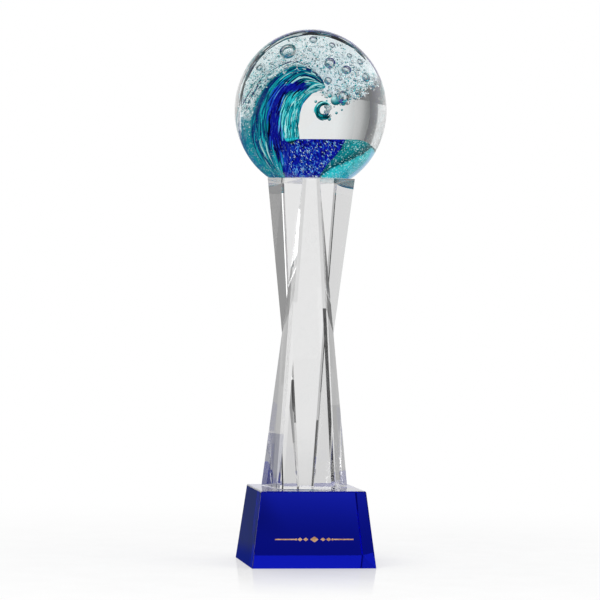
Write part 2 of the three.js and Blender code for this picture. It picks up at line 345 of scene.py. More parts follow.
# Engraved divider, in the plane of the front face: two rules that end in a dot and five diamonds, each given
# as its middle, half width and half height
dividerSizes = {
    "up": 15 * mm, "ruleStart": 9.5 * mm, "ruleLength": 11 * mm, "ruleHalf": 0.3 * mm,
    "dotRadius": 0.55 * mm, "dotSteps": 12,
    "pocketDepth": 0.45 * mm, "fillDepth": 0.4 * mm, "sunk": 0.02 * mm, "clearance": 0.03 * mm,
    "diamonds": [(-7.5 * mm, 1.35 * mm, 0.9 * mm), (-4.5 * mm, 1.35 * mm, 0.9 * mm), (0, 2.2 * mm, 1.5 * mm),
                 (4.5 * mm, 1.35 * mm, 0.9 * mm), (7.5 * mm, 1.35 * mm, 0.9 * mm)],
}


def onFrontFace(across, up, depth):
    c, s = math.cos(frontLean), math.sin(frontLean)
    up += dividerSizes["up"]
    return Vector((across, depth * c + up * s - baseFootHalf, up * c - depth * s))


def dividerOutlines(sizes, grow):
    outlines = []
    for middle, halfWidth, halfHeight in sizes["diamonds"]:
        w, h = halfWidth + grow, halfHeight + grow
        outlines.append([(middle - w, 0), (middle, -h), (middle + w, 0), (middle, h)])
    dot, half = sizes["dotRadius"] + grow, sizes["ruleHalf"] + grow
    end = sizes["ruleStart"] + sizes["ruleLength"] + grow
    first = math.asin(half / dot)
    angles = np.linspace(first, 2 * math.pi - first, sizes["dotSteps"])
    rule = [(sizes["ruleStart"] + dot * math.cos(a), dot * math.sin(a)) for a in angles]
    rule += [(end, -half), (end, half)]
    return outlines + [[(side * x, y) for x, y in rule] for side in (-1, 1)]


def buildBase(sizes):
    levels = [(baseFootHalf, 0), (sizes["topWidth"] / 2, baseTop)]
    points = [(x * half, y * half, z) for half, z in levels for x, y in squareCorners]
    faces = [(3, 2, 1, 0), (4, 5, 6, 7)] + ringFaces(2, 4)
    block = meshPiece("baseBlock", points, faces, [blueCrystal(blueLook)], smooth=False)
    with opened(block.data) as work:
        aboveFoot = [e for e in work.edges if max(v.co.z for v in e.verts) > 0]
        bevelEdges(work, aboveFoot, sizes["bevel"], sizes["bevelSteps"])
        sinkPockets(work, dividerSizes)
    return block


# Replaces the front face by one with a pocket at each outline
def sinkPockets(work, sizes):
    work.normal_update()
    front = min(work.faces, key=lambda face: face.normal.y)
    rings = [list(front.verts)]
    for outline in dividerOutlines(sizes, sizes["clearance"]):
        ring, deep = [[work.verts.new(onFrontFace(x, up, depth)) for x, up in outline]
                      for depth in (0, sizes["pocketDepth"])]
        for i in range(len(ring)):
            work.faces.new((ring[i - 1], ring[i], deep[i], deep[i - 1]))
        work.faces.new(deep)
        rings.append(ring)
    corners = [vert for ring in rings for vert in ring]
    for triangle in tessellate_polygon([[vert.co for vert in ring] for ring in rings]):
        work.faces.new([corners[i] for i in triangle])
    bmesh.ops.delete(work, geom=[front], context="FACES_ONLY")
    bmesh.ops.recalc_face_normals(work, faces=work.faces[:])


def buildGold(sizes):
    points, faces = [], []
    for outline in dividerOutlines(sizes, 0):
        start, count = len(points), len(outline)
        for depth in (sizes["sunk"], sizes["fillDepth"]):
            points += [onFrontFace(x, up, depth) for x, up in outline]
        front = [start + i for i in range(count)]
        faces += [tuple(front), tuple(i + count for i in reversed(front))]
        faces += [(front[i - 1], front[i], front[i] + count, front[i - 1] + count) for i in range(count)]
    return meshPiece("goldDivider", points, faces, [goldFill(goldLook)], smooth=False)


place(buildBase(baseSizes), "blue_crystal", "base_block")
fillNames = [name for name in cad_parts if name.startswith(("rule_", "diamond_"))]
place(buildGold(dividerSizes), "gold_fill", *fillNames)
filmMaterial = adhesiveMaterial(adhesiveLook)
for nodeName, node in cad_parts.items():
    if nodeName.endswith("_bond"):
        node.data.materials.clear()
        node.data.materials.append(filmMaterial)
print("base built")


# Tower: two equal wedges that meet on one slanted plane, one upright and one turned over. Their long free
# edges have flat chamfers.
towerSizes = {
    "depth": 34 * mm, "wideWidth": 45.5 * mm, "narrowWidth": 28 * mm, "tipWidth": 8 * mm, "tipFlat": 1.4 * mm,
    "frontBevel": 1.8 * mm, "rearBevel": 0.8 * mm, "turn": math.radians(-6),
}
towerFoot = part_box("front_wedge")[0].z
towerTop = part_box("rear_wedge")[1].z
towerTurn = Matrix.Rotation(towerSizes["turn"], 4, "Z")


def buildWedge(name, sizes, turnedOver):
    height = towerTop - towerFoot
    front = -sizes["depth"] / 2
    back = sizes["depth"] / 2 - sizes["tipFlat"]
    narrow = sizes["narrowWidth"] / 2
    wide = sizes["wideWidth"] / 2
    tip = sizes["tipWidth"] / 2
    spread = tip + (wide - narrow) * sizes["tipFlat"] / (back - front)
    middle = (wide + spread) / 2
    half = [
        (narrow, front, 0), (wide, back, 0), (spread, back, 0), (middle, 0, height / 2),
        (spread, -back, height), (tip, front, height),
    ]
    points = [(-x, y, z) for x, y, z in half] + half
    foot, footBack, seamFoot, seamMiddle, seamTop, tipFront = range(6)
    side = [foot, footBack, seamMiddle, seamTop, tipFront]
    corner = [footBack, seamFoot, seamMiddle]
    mirrored = len(half)
    faces = [
        [foot, foot + mirrored, tipFront + mirrored, tipFront],
        side, [i + mirrored for i in reversed(side)],
        [foot, footBack, seamFoot, seamFoot + mirrored, footBack + mirrored, foot + mirrored],
        [tipFront, tipFront + mirrored, seamTop + mirrored, seamTop],
        corner, [i + mirrored for i in reversed(corner)],
        [seamFoot, seamFoot + mirrored, seamMiddle + mirrored, seamTop + mirrored, seamTop, seamMiddle],
    ]
    if turnedOver:
        points = [(x, -y, height - z) for x, y, z in points]
    points = [towerTurn @ Vector((x, y, z + towerFoot)) for x, y, z in points]
    wedge = meshPiece(name, points, faces, [crystalMaterial, jointMaterial], smooth=False)
    wedge.data.polygons[len(faces) - 1].material_index = 1
    with opened(wedge.data) as work:
        work.verts.ensure_lookup_table()
        ends = [(foot, tipFront), (foot + mirrored, tipFront + mirrored)]
        longEdges = [work.edges.get([work.verts[a], work.verts[b]]) for a, b in ends]
        bevelEdges(work, longEdges, sizes["rearBevel"] if turnedOver else sizes["frontBevel"], 1)
    return wedge


place(buildWedge("frontWedge", towerSizes, False), "clear_crystal", "front_wedge")
place(buildWedge("rearWedge", towerSizes, True), "clear_crystal", "rear_wedge")
print("tower built")


# Ball: smooth clear glass, a little taller than wide, ground flat at the foot
casingLow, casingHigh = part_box("ball_casing")
ballSizes = {"radius": 40 * mm, "halfHeight": 42.5 * mm, "footRound": 0.35 * mm, "sides": 160, "rings": 90}
ballCentre = casingHigh.z - ballSizes["halfHeight"]
ballRadius = ballSizes["radius"]


def buildCasing(sizes):
    halfHeight, sides = sizes["halfHeight"], sizes["sides"]
    foot = casingLow.z - ballCentre
    start = math.asin(foot / halfHeight)
    profile = [(ballRadius * math.cos(start) - sizes["footRound"], foot)]
    start += sizes["footRound"] / ballRadius
    for i in range(sizes["rings"]):
        angle = start + (math.pi / 2 - start) * i / sizes["rings"]
        profile.append((ballRadius * math.cos(angle), halfHeight * math.sin(angle)))
    turns = [2 * math.pi * j / sides for j in range(sides)]
    points = [(across * math.cos(turn), across * math.sin(turn), z + ballCentre)
              for across, z in profile for turn in turns]
    points.append((0, 0, ballCentre + halfHeight))
    last = (len(profile) - 1) * sides
    faces = ringFaces(len(profile), sides)
    faces += [(last + j, last + (j + 1) % sides, len(points) - 1) for j in range(sides)]
    faces.append(tuple(reversed(range(sides))))
    casing = meshPiece("ballCasing", points, faces, [casingMaterial])
    for polygon in casing.data.polygons:
        polygon.use_smooth = len(polygon.vertices) < 5
    return casing


place(buildCasing(ballSizes), "clear_glass", "ball_casing")
print("ball casing built")

# How near the rim and how near the front skin a place can be read through the ball, and how much smaller than
# seen a round thing inside it is made
lensLimits = {"reach": 0.985, "skin": 0.96, "shrink": 0.8}


# Where a point must lie, at a depth from the ball's middle plane, to be seen at (across, up) through its
# front. All are shares of the ball's radius. Behind the plane the same shape is mirrored.
def throughBall(across, up, depth, mirror=True):
    reach = np.clip(np.hypot(across, up), 1e-6, lensLimits["reach"])
    entry = np.sqrt(1 - reach ** 2)
    bend = np.tan(np.arcsin(reach) - np.arcsin(reach / glassIndex))
    seenDepth = -np.abs(depth) if mirror else depth
    seenDepth = np.maximum(seenDepth, -lensLimits["skin"] * entry)
    actual = reach - (seenDepth + entry) * bend
    signedDepth = np.where(depth > 0, np.abs(seenDepth), seenDepth) if mirror else seenDepth
    return np.stack([across / reach * actual, signedDepth, up / reach * actual], -1)


# From shares of the ball's radius to metres
def inBall(shares):
    c, s = math.cos(towerSizes["turn"]), math.sin(towerSizes["turn"])
    x, y = shares[..., 0] * ballRadius, shares[..., 1] * ballRadius
    z = shares[..., 2] * ballSizes["halfHeight"]
    return np.stack([c * x - s * y, s * x + c * y, z + ballCentre], -1)


def seenAt(across, up, depth, mirror=True):
    return inBall(throughBall(across, up, depth, mirror))


# A smooth curve through the points, read at shares from 0 to 1
def curveThrough(points, shares):
    points = np.asarray(points, float)
    if points.ndim == 1:
        return curveThrough(points[:, None], shares)[:, 0]
    spot = np.clip(shares, 0, 1) * (len(points) - 1)
    index = np.minimum(spot.astype(int), len(points) - 2)
    f = (spot - index)[:, None]
    before = points[np.maximum(index - 1, 0)]
    here = points[index]
    after = points[index + 1]
    later = points[np.minimum(index + 2, len(points) - 1)]
    cubic = 3 * (here - after) + later - before
    square = 2 * before - 5 * here + 4 * after - later
    return here + 0.5 * f * (after - before + f * (square + f * cubic))


# Smooth random wobble along a line, about 1 at most and the same each run
def wobble(shares, salt):
    waves, evenOut = 7, 1.6
    dice = np.random.default_rng(seed + salt)
    total = np.zeros_like(shares)
    for k in range(1, waves + 1):
        total += np.sin(2 * np.pi * (k * shares * dice.uniform(0.7, 1.3) + dice.uniform())) / k
    return total / evenOut


# The wave's body as ribs from the lip to the pool. Each rib has the outer and inner edge as seen from the
# front and the half depth, in shares of the ball's radius.
waveBody = {
    "outer": [
        (0.178, 0.312), (0.112, 0.420), (-0.020, 0.519), (-0.178, 0.568), (-0.375, 0.488), (-0.546, 0.358),
        (-0.684, 0.173), (-0.770, -0.037), (-0.796, -0.259), (-0.770, -0.457), (-0.678, -0.630),
        (-0.546, -0.759), (-0.414, -0.846),
    ],
    "inner": [
        (0.184, 0.290), (0.099, 0.249), (0.007, 0.206), (-0.066, 0.136), (-0.105, 0.068), (-0.128, 0.000),
        (-0.145, -0.080), (-0.157, -0.160), (-0.164, -0.259), (-0.157, -0.377), (-0.191, -0.519),
        (-0.243, -0.685), (-0.296, -0.846),
    ],
    "halfDepth": [0.05, 0.13, 0.20, 0.26, 0.31, 0.35, 0.38, 0.40, 0.41, 0.42, 0.42, 0.40, 0.36],
    "innerClosing": [1, 1, 1, 1, 1, 1, 1, 1, 1, 0.85, 0.3, 0, 0],
    "outerClosing": [1] * 13,
    "roundness": 2.3,
}
# Where the cobalt pool meets the teal one
poolLine = [(0.428, -0.380), (0.388, -0.469), (0.303, -0.580), (0.191, -0.704), (0.092, -0.852)]
cobaltPoolBody = {
    "inner": [(-0.200, -0.390), (-0.228, -0.481), (-0.240, -0.593), (-0.262, -0.716), (-0.300, -0.852)],
    "outer": poolLine,
    "halfDepth": [0.36, 0.42, 0.43, 0.41, 0.36],
    "innerClosing": [0] * 5,
    "outerClosing": [0.25] * 5,
    "roundness": 2.3,
}
tealPoolBody = {
    "inner": [poolLine[0], (0.410, -0.415), *poolLine[1:]],
    "outer": [(0.640, -0.376), (0.757, -0.414), (0.796, -0.478), (0.770, -0.590), (0.658, -0.712),
              (0.467, -0.852)],
    "halfDepth": [0.33, 0.37, 0.40, 0.41, 0.40, 0.36],
    "innerClosing": [0.25] * 6,
    "outerClosing": [1] * 6,
    "roundness": 2.2,
}


# A place on a body: along from 0 at the first rib to 1, across from 0 at the inner edge to 1, side -1 for
# the front
def bodyPoints(body, along, across, side, lift=0.0):
    outer = curveThrough(body["outer"], along)
    inner = curveThrough(body["inner"], along)
    seen = inner + (outer - inner) * across[:, None]
    closing = np.where(across < 0.5, curveThrough(body["innerClosing"], along),
                       curveThrough(body["outerClosing"], along))
    edge = np.clip(np.abs(2 * across - 1) * closing, 0, 1)
    bulge = (1 - edge ** body["roundness"]) ** (1 / body["roundness"])
    depth = side * (curveThrough(body["halfDepth"], along) * bulge + lift)
    return throughBall(seen[:, 0], seen[:, 1], depth)


# Where a strip's first or second edge lies across its body, with a wobble of its own
def stripEdge(strip, which, along):
    edge = curveThrough(strip[("from", "to")[which]], along)[0]
    return np.clip(edge + strip["wobble"][which] * wobble(along, strip["salt"] + which)[0], 0, 1)


# One closed strip of glass between two lines across a body, crowned a little so that it reads by itself
def stripPiece(name, body, material, strip):
    steps, arc = strip["steps"], strip["arc"]
    start, end = strip.get("reach", (0.0, 1.0))
    share = 0.5 - 0.5 * np.cos(np.pi * np.arange(arc) / (arc - 1))
    crown = strip["crown"] * np.sqrt(np.clip(1 - (2 * share - 1) ** 2, 0, 1))
    rows, flow = [], []
    for i in range(steps + 1):
        along = np.full(arc, start + (end - start) * i / steps)
        low, high = [stripEdge(strip, which, along[:1]) for which in (0, 1)]
        across = low + (high - low) * share
        front = bodyPoints(body, along, across, -1, crown)
        back = bodyPoints(body, along, across, 1, crown)[::-1]
        ring = np.concatenate([front, back])
        rows.append(ring)
        flow.append(np.stack([np.tile(along, 2), np.concatenate([across, across[::-1]]), ring[:, 1]], -1))
    attributes = {"flow": ("FLOAT_VECTOR", np.concatenate(flow))}
    return meshPiece(name, inBall(np.concatenate(rows)), tubeFaces(steps + 1, 2 * arc), [material],
                     attributes=attributes, merge=1e-6)


# Flow is a place's share along and across its body, and its depth
def flowPart(nodes, axis):
    return nodes.part(nodes.attribute("flow"), axis)


# Streaks that run with the flow of the glass: noise drawn out along the wave
def flowStreaks(nodes, along, across, detail=3.0):
    drawnOut = nodes.stretched(nodes.attribute("flow"), (along, across, 3.0))
    return nodes.noise(drawnOut, 1.0, detail, 0.6, 0.3)


# Starts a material of drawn glass: its nodes, place along and across, fine and broad streaks
def drawnGlass(name, look):
    nodes = newMaterial(name)
    streaks = [flowStreaks(nodes, *look[kind]) for kind in ("fine", "broad")]
    return nodes, flowPart(nodes, "X"), flowPart(nodes, "Y"), *streaks


# Fine and broad streaks together, as a share of the fine ones and a contrast
def mixStreaks(fine, broad, share, contrast):
    return (fine * share + broad * (1 - share) - 0.5) * contrast + 0.5


# From 0 to 1 over a border that wanders with the streaks
def border(value, streaks, wander, low, high):
    return (value + (streaks - 0.5) * wander).rise(low, high)


# Colored glass that lies in clear glass, so that its own surface has no shine
def inlaidGlass(nodes, color, fine, look):
    return nodes.output(nodes.principled(color=color, rough=fine.spread(*look["rough"]), specular=0.0,
                                         normal=nodes.bump(fine, *look["relief"])))


# Inner face of the wave: aqua with darker and lighter streaks and an azure edge beside the clear glass
faceLook = {
    "streaks": [(0.30, "#0a8295"), (0.42, "#16a6b4"), (0.52, "#24c6d0"), (0.62, "#46e2e6"), (0.70, "#1eb4c0"),
                (0.80, "#8ef4f2")],
    "deep": "#077083", "deepBorder": (0.1, 0.30, 0.42), "deepCover": 0.75,
    "edge": "#2aa6e6", "edgeAcross": (0.03, 0.12), "edgeStart": (0.12, 0.2), "edgeEnd": (0.42, 0.55),
    "fine": (9.0, 62.0), "broad": (5.0, 18.0), "mix": (0.55, 1.7),
    "rough": (0.25, 0.2), "relief": (0.3, 0.0004),
}


def faceMaterial(look):
    nodes, along, across, fine, broad = drawnGlass("aquaGlass", look)
    color = nodes.ramp(mixStreaks(fine, broad, *look["mix"]), look["streaks"])
    color = nodes.blend(border(across, fine, *look["deepBorder"]) * look["deepCover"], color, look["deep"])
    atEdge = (1 - across.rise(*look["edgeAcross"])) * along.rise(*look["edgeStart"])
    color = nodes.blend(atEdge * (1 - along.rise(*look["edgeEnd"])), color, look["edge"])
    return inlaidGlass(nodes, color, fine, look)


# Body of the wave: teal at the lip, then navy and cobalt, with thin azure and near-white threads
curlLook = {
    "streaks": [(0.28, "#04063f"), (0.42, "#080c78"), (0.52, "#0f179c"), (0.62, "#070b66"), (0.70, "#1a44c4"),
                (0.76, "#0c128c"), (0.84, "#62b4ee")],
    "lip": [(0.3, "#04505c"), (0.45, "#0a8390"), (0.56, "#0b3f7c"), (0.66, "#13a6b0"), (0.8, "#7ce4e6")],
    "lipBorder": (0.12, 0.15, 0.27),
    "light": "#c4ecf6", "thread": (40.0, 130.0, 1.0), "threadEdge": (0.68, 0.74), "threadCover": (0.25, 0.75),
    "lower": "#1b50cc", "lowerAlong": (0.72, 0.88), "lowerEdge": (0.45, 0.6), "lowerCover": 0.7,
    "fine": (14.0, 95.0), "broad": (7.0, 26.0), "mix": (0.6, 1.8),
    "rough": (0.25, 0.2), "relief": (0.3, 0.0004),
}


def curlMaterial(look):
    nodes, along, _, fine, broad = drawnGlass("navyGlass", look)
    streaks = mixStreaks(fine, broad, *look["mix"])
    color = nodes.blend(border(along, fine, *look["lipBorder"]), nodes.ramp(streaks, look["lip"]),
                        nodes.ramp(streaks, look["streaks"]))
    lower = along.rise(*look["lowerAlong"])
    color = nodes.blend(lower * broad.rise(*look["lowerEdge"]) * look["lowerCover"], color, look["lower"])
    threads = flowStreaks(nodes, *look["thread"]).rise(*look["threadEdge"])
    color = nodes.blend(threads * lower.spread(*look["threadCover"]), color, look["light"])
    return inlaidGlass(nodes, color, fine, look)


# Back of the wave: a bright teal stripe, dark outer streaks, a teal crest and grainy teal near the foot. Its
# outer rear part is pale froth, because the ball shows it enlarged beside the crest.
backLook = {
    "bands": [(0.62, "#0b2f8c"), (0.71, "#0f8fa4"), (0.77, "#22c0c8"), (0.84, "#129aa8"), (0.88, "#0a2d72"),
              (0.94, "#0a3f78"), (1.0, "#0c8c98")],
    "bandWander": (0.16, 0.14),
    "crest": [(0.3, "#056570"), (0.45, "#0a8792"), (0.58, "#0fa0a6"), (0.7, "#0a4f8c"), (0.8, "#57d2d4")],
    "crestBorder": (0.15, 0.27, 0.42),
    "foot": [(0.3, "#0a7f8c"), (0.5, "#16a3a6"), (0.62, "#0b6f9c"), (0.75, "#8fe2de")],
    "footBorder": (0.2, 0.72, 0.86),
    "spray": [(0.36, "#07505c"), (0.42, "#0f8d9a"), (0.46, "#b4dcde"), (0.52, "#f4fafa"), (0.62, "#ffffff"),
              (0.70, "#7fc0c4")],
    "sprayScale": 620.0, "sprayDepth": (0.2, -0.02, 0.06), "sprayAcross": (0.3, 0.45, 0.7),
    "sprayEnd": (0.3, 0.54, 0.72),
    "grain": "#d8f4f2", "grainScale": 1500.0, "grainEdge": (0.62, 0.70), "grainAlong": (0.6, 0.85),
    "grainCover": (0.15, 0.6),
    "fine": (14.0, 90.0), "broad": (6.0, 22.0), "mix": (0.6, 1.8),
    "rough": (0.3, 0.2), "relief": (0.3, 0.0004),
}


def backMaterial(look):
    nodes, along, across, fine, broad = drawnGlass("tealGlass", look)
    streaks = mixStreaks(fine, broad, *look["mix"])
    fineWander, broadWander = look["bandWander"]
    bands = nodes.ramp(across + (fine - 0.5) * fineWander + (broad - 0.5) * broadWander, look["bands"])
    crest = nodes.ramp(streaks, look["crest"])
    color = nodes.blend(1 - border(along, broad, *look["crestBorder"]), bands, crest)
    color = nodes.blend(border(along, broad, *look["footBorder"]), color, nodes.ramp(streaks, look["foot"]))
    specks = nodes.noise(nodes.objectPlace(), look["grainScale"], 1.0).rise(*look["grainEdge"])
    grainy = along.rise(*look["grainAlong"]).spread(*look["grainCover"])
    color = nodes.blend(specks * grainy, color, look["grain"])
    spray = nodes.ramp(nodes.noise(nodes.objectPlace(), look["sprayScale"], 4.0, 0.7), look["spray"])
    sprayed = border(flowPart(nodes, "Z"), broad, *look["sprayDepth"])
    sprayed = sprayed * border(across, fine, *look["sprayAcross"])
    color = nodes.blend(sprayed * (1 - border(along, broad, *look["sprayEnd"])), color, spray)
    return inlaidGlass(nodes, color, fine, look)


# Cobalt pool: cobalt with slanting dashes that grow paler and denser towards the foot
poolLook = {
    "streaks": [(0.30, "#03043e"), (0.43, "#0a1196"), (0.52, "#0c1cb4"), (0.60, "#050870"), (0.69, "#1f5ed2"),
                (0.80, "#7cc8f2")],
    "slant": math.radians(-40), "drawnOut": 2.6, "blotchScale": 230.0, "fineScale": 620.0, "mix": (0.55, 1.9),
    "lowerAlong": (0.05, 0.9), "paler": (-0.07, 0.13),
    "dash": "#cfeefa", "dashScale": 900.0, "dashEdge": (0.66, 0.72), "dashCover": (0.35, 0.5),
    "rough": (0.25, 0.2), "relief": (0.25, 0.0003),
}


def poolMaterial(look):
    nodes = newMaterial("cobaltGlass")
    turned, drawnOut = (0, look["slant"], 0), (look["drawnOut"], 1.0, 1.0)
    sockets = {"Vector": nodes.objectPlace(), "Rotation": turned, "Scale": drawnOut}
    slanted = nodes.add("Mapping", {"vector_type": "POINT"}, sockets)
    blotch = nodes.noise(slanted, look["blotchScale"], 3.0, 0.6, 0.4)
    fine = nodes.noise(slanted, look["fineScale"], 2.0, 0.6)
    lower = flowPart(nodes, "X").rise(*look["lowerAlong"])
    color = nodes.ramp(mixStreaks(fine, blotch, *look["mix"]) + lower.spread(*look["paler"]), look["streaks"])
    dashes = nodes.noise(slanted, look["dashScale"], 1.0).rise(*look["dashEdge"])
    color = nodes.blend(dashes * lower.spread(*look["dashCover"]), color, look["dash"])
    return inlaidGlass(nodes, color, fine, look)


# Teal pool: grainy teal that darkens towards a bright aqua sweep along the lower right
shallowLook = {
    "sweep": [(0.30, "#12959c"), (0.45, "#0d8990"), (0.60, "#075a62"), (0.665, "#06545c"), (0.70, "#1fbcc6"),
              (0.80, "#35dbe0"), (0.95, "#24c4d4")],
    "blotchScale": 260.0, "fineScale": 1300.0, "shade": [(0.35, 0.55), (0.65, 1.0)], "shadeCover": 0.75,
    "grain": "#c9f0ee", "grainEdge": (0.60, 0.68), "grainCover": 0.7,
    "rim": "#7fc4ee", "rimAcross": (0.93, 0.99), "rimAlong": (0.35, 0.5), "rimCover": 0.8,
    "sweepSlope": 0.62, "sweepStart": 0.3, "sweepWander": 0.1, "rough": (0.25, 0.2), "relief": (0.25, 0.0003),
}


def shallowMaterial(look):
    nodes = newMaterial("shallowGlass")
    along, across = flowPart(nodes, "X"), flowPart(nodes, "Y")
    blotch = nodes.noise(nodes.objectPlace(), look["blotchScale"], 3.0, 0.6)
    fine = nodes.noise(nodes.objectPlace(), look["fineScale"], 1.0)
    sweep = along + look["sweepSlope"] * across - look["sweepStart"] + (blotch - 0.5) * look["sweepWander"]
    color = nodes.ramp(sweep, look["sweep"])
    shade = nodes.ramp(blotch * 0.5 + fine * 0.5, look["shade"])
    color = nodes.blend(look["shadeCover"], color, shade, "MULTIPLY")
    color = nodes.blend(fine.rise(*look["grainEdge"]) * look["grainCover"], color, look["grain"])
    atRim = across.rise(*look["rimAcross"]) * along.rise(*look["rimAlong"])
    color = nodes.blend(atRim * look["rimCover"], color, look["rim"])
    return inlaidGlass(nodes, color, fine, look)


faceTo = [0.50, 0.46, 0.30, 0.20, 0.32, 0.49, 0.48, 0.43, 0.39, 0.33, 0.22, 0.12, 0.06]
curlTo = [0.56, 0.53, 0.40, 0.46, 0.62, 0.78, 0.76, 0.70, 0.68, 0.66, 0.55, 0.45, 0.40]
faceEnd = 9.12 / 12  # the inner face stops just above the pool
strips = {
    "waveFace": {"from": [0] * 13, "to": faceTo, "reach": (0.0, faceEnd), "wobble": (0, 0.012), "salt": 1,
                 "crown": 0.012, "steps": 150, "arc": 18},
    "waveCurl": {"from": faceTo[:10] + [0, 0, 0], "to": curlTo, "wobble": (0.012, 0.014), "salt": 2,
                 "crown": 0.022, "steps": 170, "arc": 18},
    "waveBack": {"from": curlTo, "to": [1] * 13, "wobble": (0.014, 0), "salt": 3, "crown": 0.016,
                 "steps": 170, "arc": 18},
    "cobaltPool": {"from": [0] * 5, "to": [1] * 5, "wobble": (0, 0.006), "salt": 11, "crown": 0.0,
                   "steps": 60, "arc": 40},
    "tealPool": {"from": [0] * 6, "to": [1] * 6, "wobble": (0.006, 0), "salt": 12, "crown": 0.0,
                 "steps": 60, "arc": 40},
}
waveParts = [
    ("waveFace", waveBody, faceMaterial(faceLook), "aqua_glass", "wave_face"),
    ("waveCurl", waveBody, curlMaterial(curlLook), "cobalt_glass", "wave_curl"),
    ("waveBack", waveBody, backMaterial(backLook), "teal_glass", "wave_back"),
    ("cobaltPool", cobaltPoolBody, poolMaterial(poolLook), "cobalt_glass", "cobalt_pool"),
    ("tealPool", tealPoolBody, shallowMaterial(shallowLook), "teal_glass", "teal_pool"),
]
for pieceName, body, material, slot, nodeName in waveParts:
    place(stripPiece(pieceName, body, material, strips[pieceName]), slot, nodeName)
print("wave and pools built")


# A ball of the given number of subdivisions, as points and faces round the origin
def ballForm(subdivisions):
    work = bmesh.new()
    bmesh.ops.create_icosphere(work, subdivisions=subdivisions, radius=1.0)
    points = np.array([v.co for v in work.verts])
    faces = [tuple(v.index for v in f.verts) for f in work.faces]
    work.free()
    return points, faces


# A closed tube round a line of points
def tube(centres, radii, sides):
    tangents = np.gradient(centres, axis=0)
    tangents /= np.linalg.norm(tangents, axis=1)[:, None] + 1e-12
    helper = np.array([0.0, 1.0, 0.0])
    normals = np.cross(tangents, helper)
    normals /= np.linalg.norm(normals, axis=1)[:, None] + 1e-12
    others = np.cross(tangents, normals)
    turns = [2 * math.pi * j / sides for j in range(sides)]
    points = [tuple(centre + radius * (math.cos(turn) * n + math.sin(turn) * o))
              for centre, radius, n, o in zip(centres, radii, normals, others) for turn in turns]
    return points, tubeFaces(len(centres), sides)


shardFaces = [(0, 2, 4), (2, 1, 4), (1, 3, 4), (3, 0, 4), (2, 0, 5), (1, 2, 5), (3, 1, 5), (0, 3, 5)]


# Many small shapes joined into one piece, each with its own color
class Crowd:
    def __init__(self):
        self.points = []
        self.faces = []
        self.colors = []

    # One color for the whole shape, or a list with one for each of its points
    def add(self, points, faces, color):
        start = len(self.points)
        self.points.extend(points)
        self.faces.extend([tuple(start + i for i in face) for face in faces])
        self.colors.extend([paint(color)] * len(points) if isinstance(color, str) else color)

    def addBall(self, form, centre, radius, color="#ffffff"):
        points, faces = form
        self.add([tuple(p) for p in centre + points * radius], faces, color)

    # A strand tapered at both ends, with its width as a share of the ball's radius
    def addStrand(self, centres, width, color, sides):
        steps = len(centres)
        taper = np.sin(np.pi * (np.arange(steps) + 0.5) / steps) ** 0.6
        self.add(*tube(centres, width * ballRadius * taper, sides), color)

    # A sliver of glass: a drawn-out octahedron, turned about its axis by any other direction
    def addShard(self, centre, axis, length, width, other, color):
        axis = axis / np.linalg.norm(axis)
        side = np.cross(axis, other)
        side /= np.linalg.norm(side)
        other = np.cross(axis, side)
        ends = [sign * way * size / 2 for way, size in ((axis, length), (side, width), (other, width))
                for sign in (1, -1)]
        self.add([tuple(centre + end) for end in ends], shardFaces, color)

    def piece(self, name, material, smooth):
        attributes = {"grain": ("FLOAT_COLOR", self.colors)}
        return meshPiece(name, self.points, self.faces, [material], smooth, attributes)


def pick(dice, colors):
    return colors[dice.integers(len(colors))]


# A random size between the two ends of a reach, in metres. The higher the power, the more small ones.
def sizeFrom(dice, reach, power):
    return (reach[0] + (reach[1] - reach[0]) * dice.uniform() ** power) * ballRadius


grainLook = {"rough": (0.35, 0.2), "grainScale": 3000.0, "shade": [(0.3, 0.75), (0.6, 1.0)], "glow": 0.0}
# The froth grains glow a little: painted light that brightens them
frothLook = {**grainLook, "glow": 0.25}


# Glass grains and threads keep the color each was given, with a fine mottle. The froth grains also glow in
# their own color, as painted light.
def grainMaterial(name, look):
    nodes = newMaterial(name)
    mottle = nodes.noise(nodes.objectPlace(), look["grainScale"], 2.0)
    color = nodes.blend(1.0, nodes.attribute("grain", "Color"), nodes.ramp(mottle, look["shade"]), "MULTIPLY")
    return nodes.output(nodes.principled(color=color, rough=mottle.spread(*look["rough"]), specular=0.0,
                                         glow=color, glowStrength=look["glow"]))


# Threads of drawn glass that follow the wave, thicker in the middle and tapered at both ends. None on the
# inner part runs on into the pool.
threadPlan = {
    "count": 720, "frontShare": 0.72, "sides": 5, "steps": 22, "width": (0.0030, 0.0095), "lift": 0.014,
    "length": (0.05, 0.20), "along": (0.03, 0.98), "across": (0.02, 0.98), "within": (0.01, 0.99),
    "innerPart": 0.36, "innerEnd": 0.74, "curlStart": 0.2,
    "lean": 0.03, "swing": 0.008, "waves": 40, "phase": (0, 6),
    "faceColors": ["#7cf0ee", "#0b8798", "#1db2c0", "#2fd6dc", "#c8fafa", "#076a7c"],
    "curlColors": ["#04052f", "#0a1296", "#05084c", "#1f5ad6", "#5aa8ee", "#0d1690", "#0b8fb0", "#02031f"],
    "backColors": ["#0b2f78", "#1ab6c2", "#0a6f80", "#b8ecea", "#0a1f66", "#15a0ae", "#062a5c"],
}

# Pale lines along the lip, on the border of the inner face: a painted highlight line
lipHighlightPlan = {
    "lines": 16, "start": (0.01, 0.06), "length": (0.12, 0.22), "beside": (-0.02, 0.03), "lift": 0.026,
    "width": (0.004, 0.008), "colors": ["#c8f4f2", "#8fe8ea", "#e8fbfa", "#3fd0d6"],
}


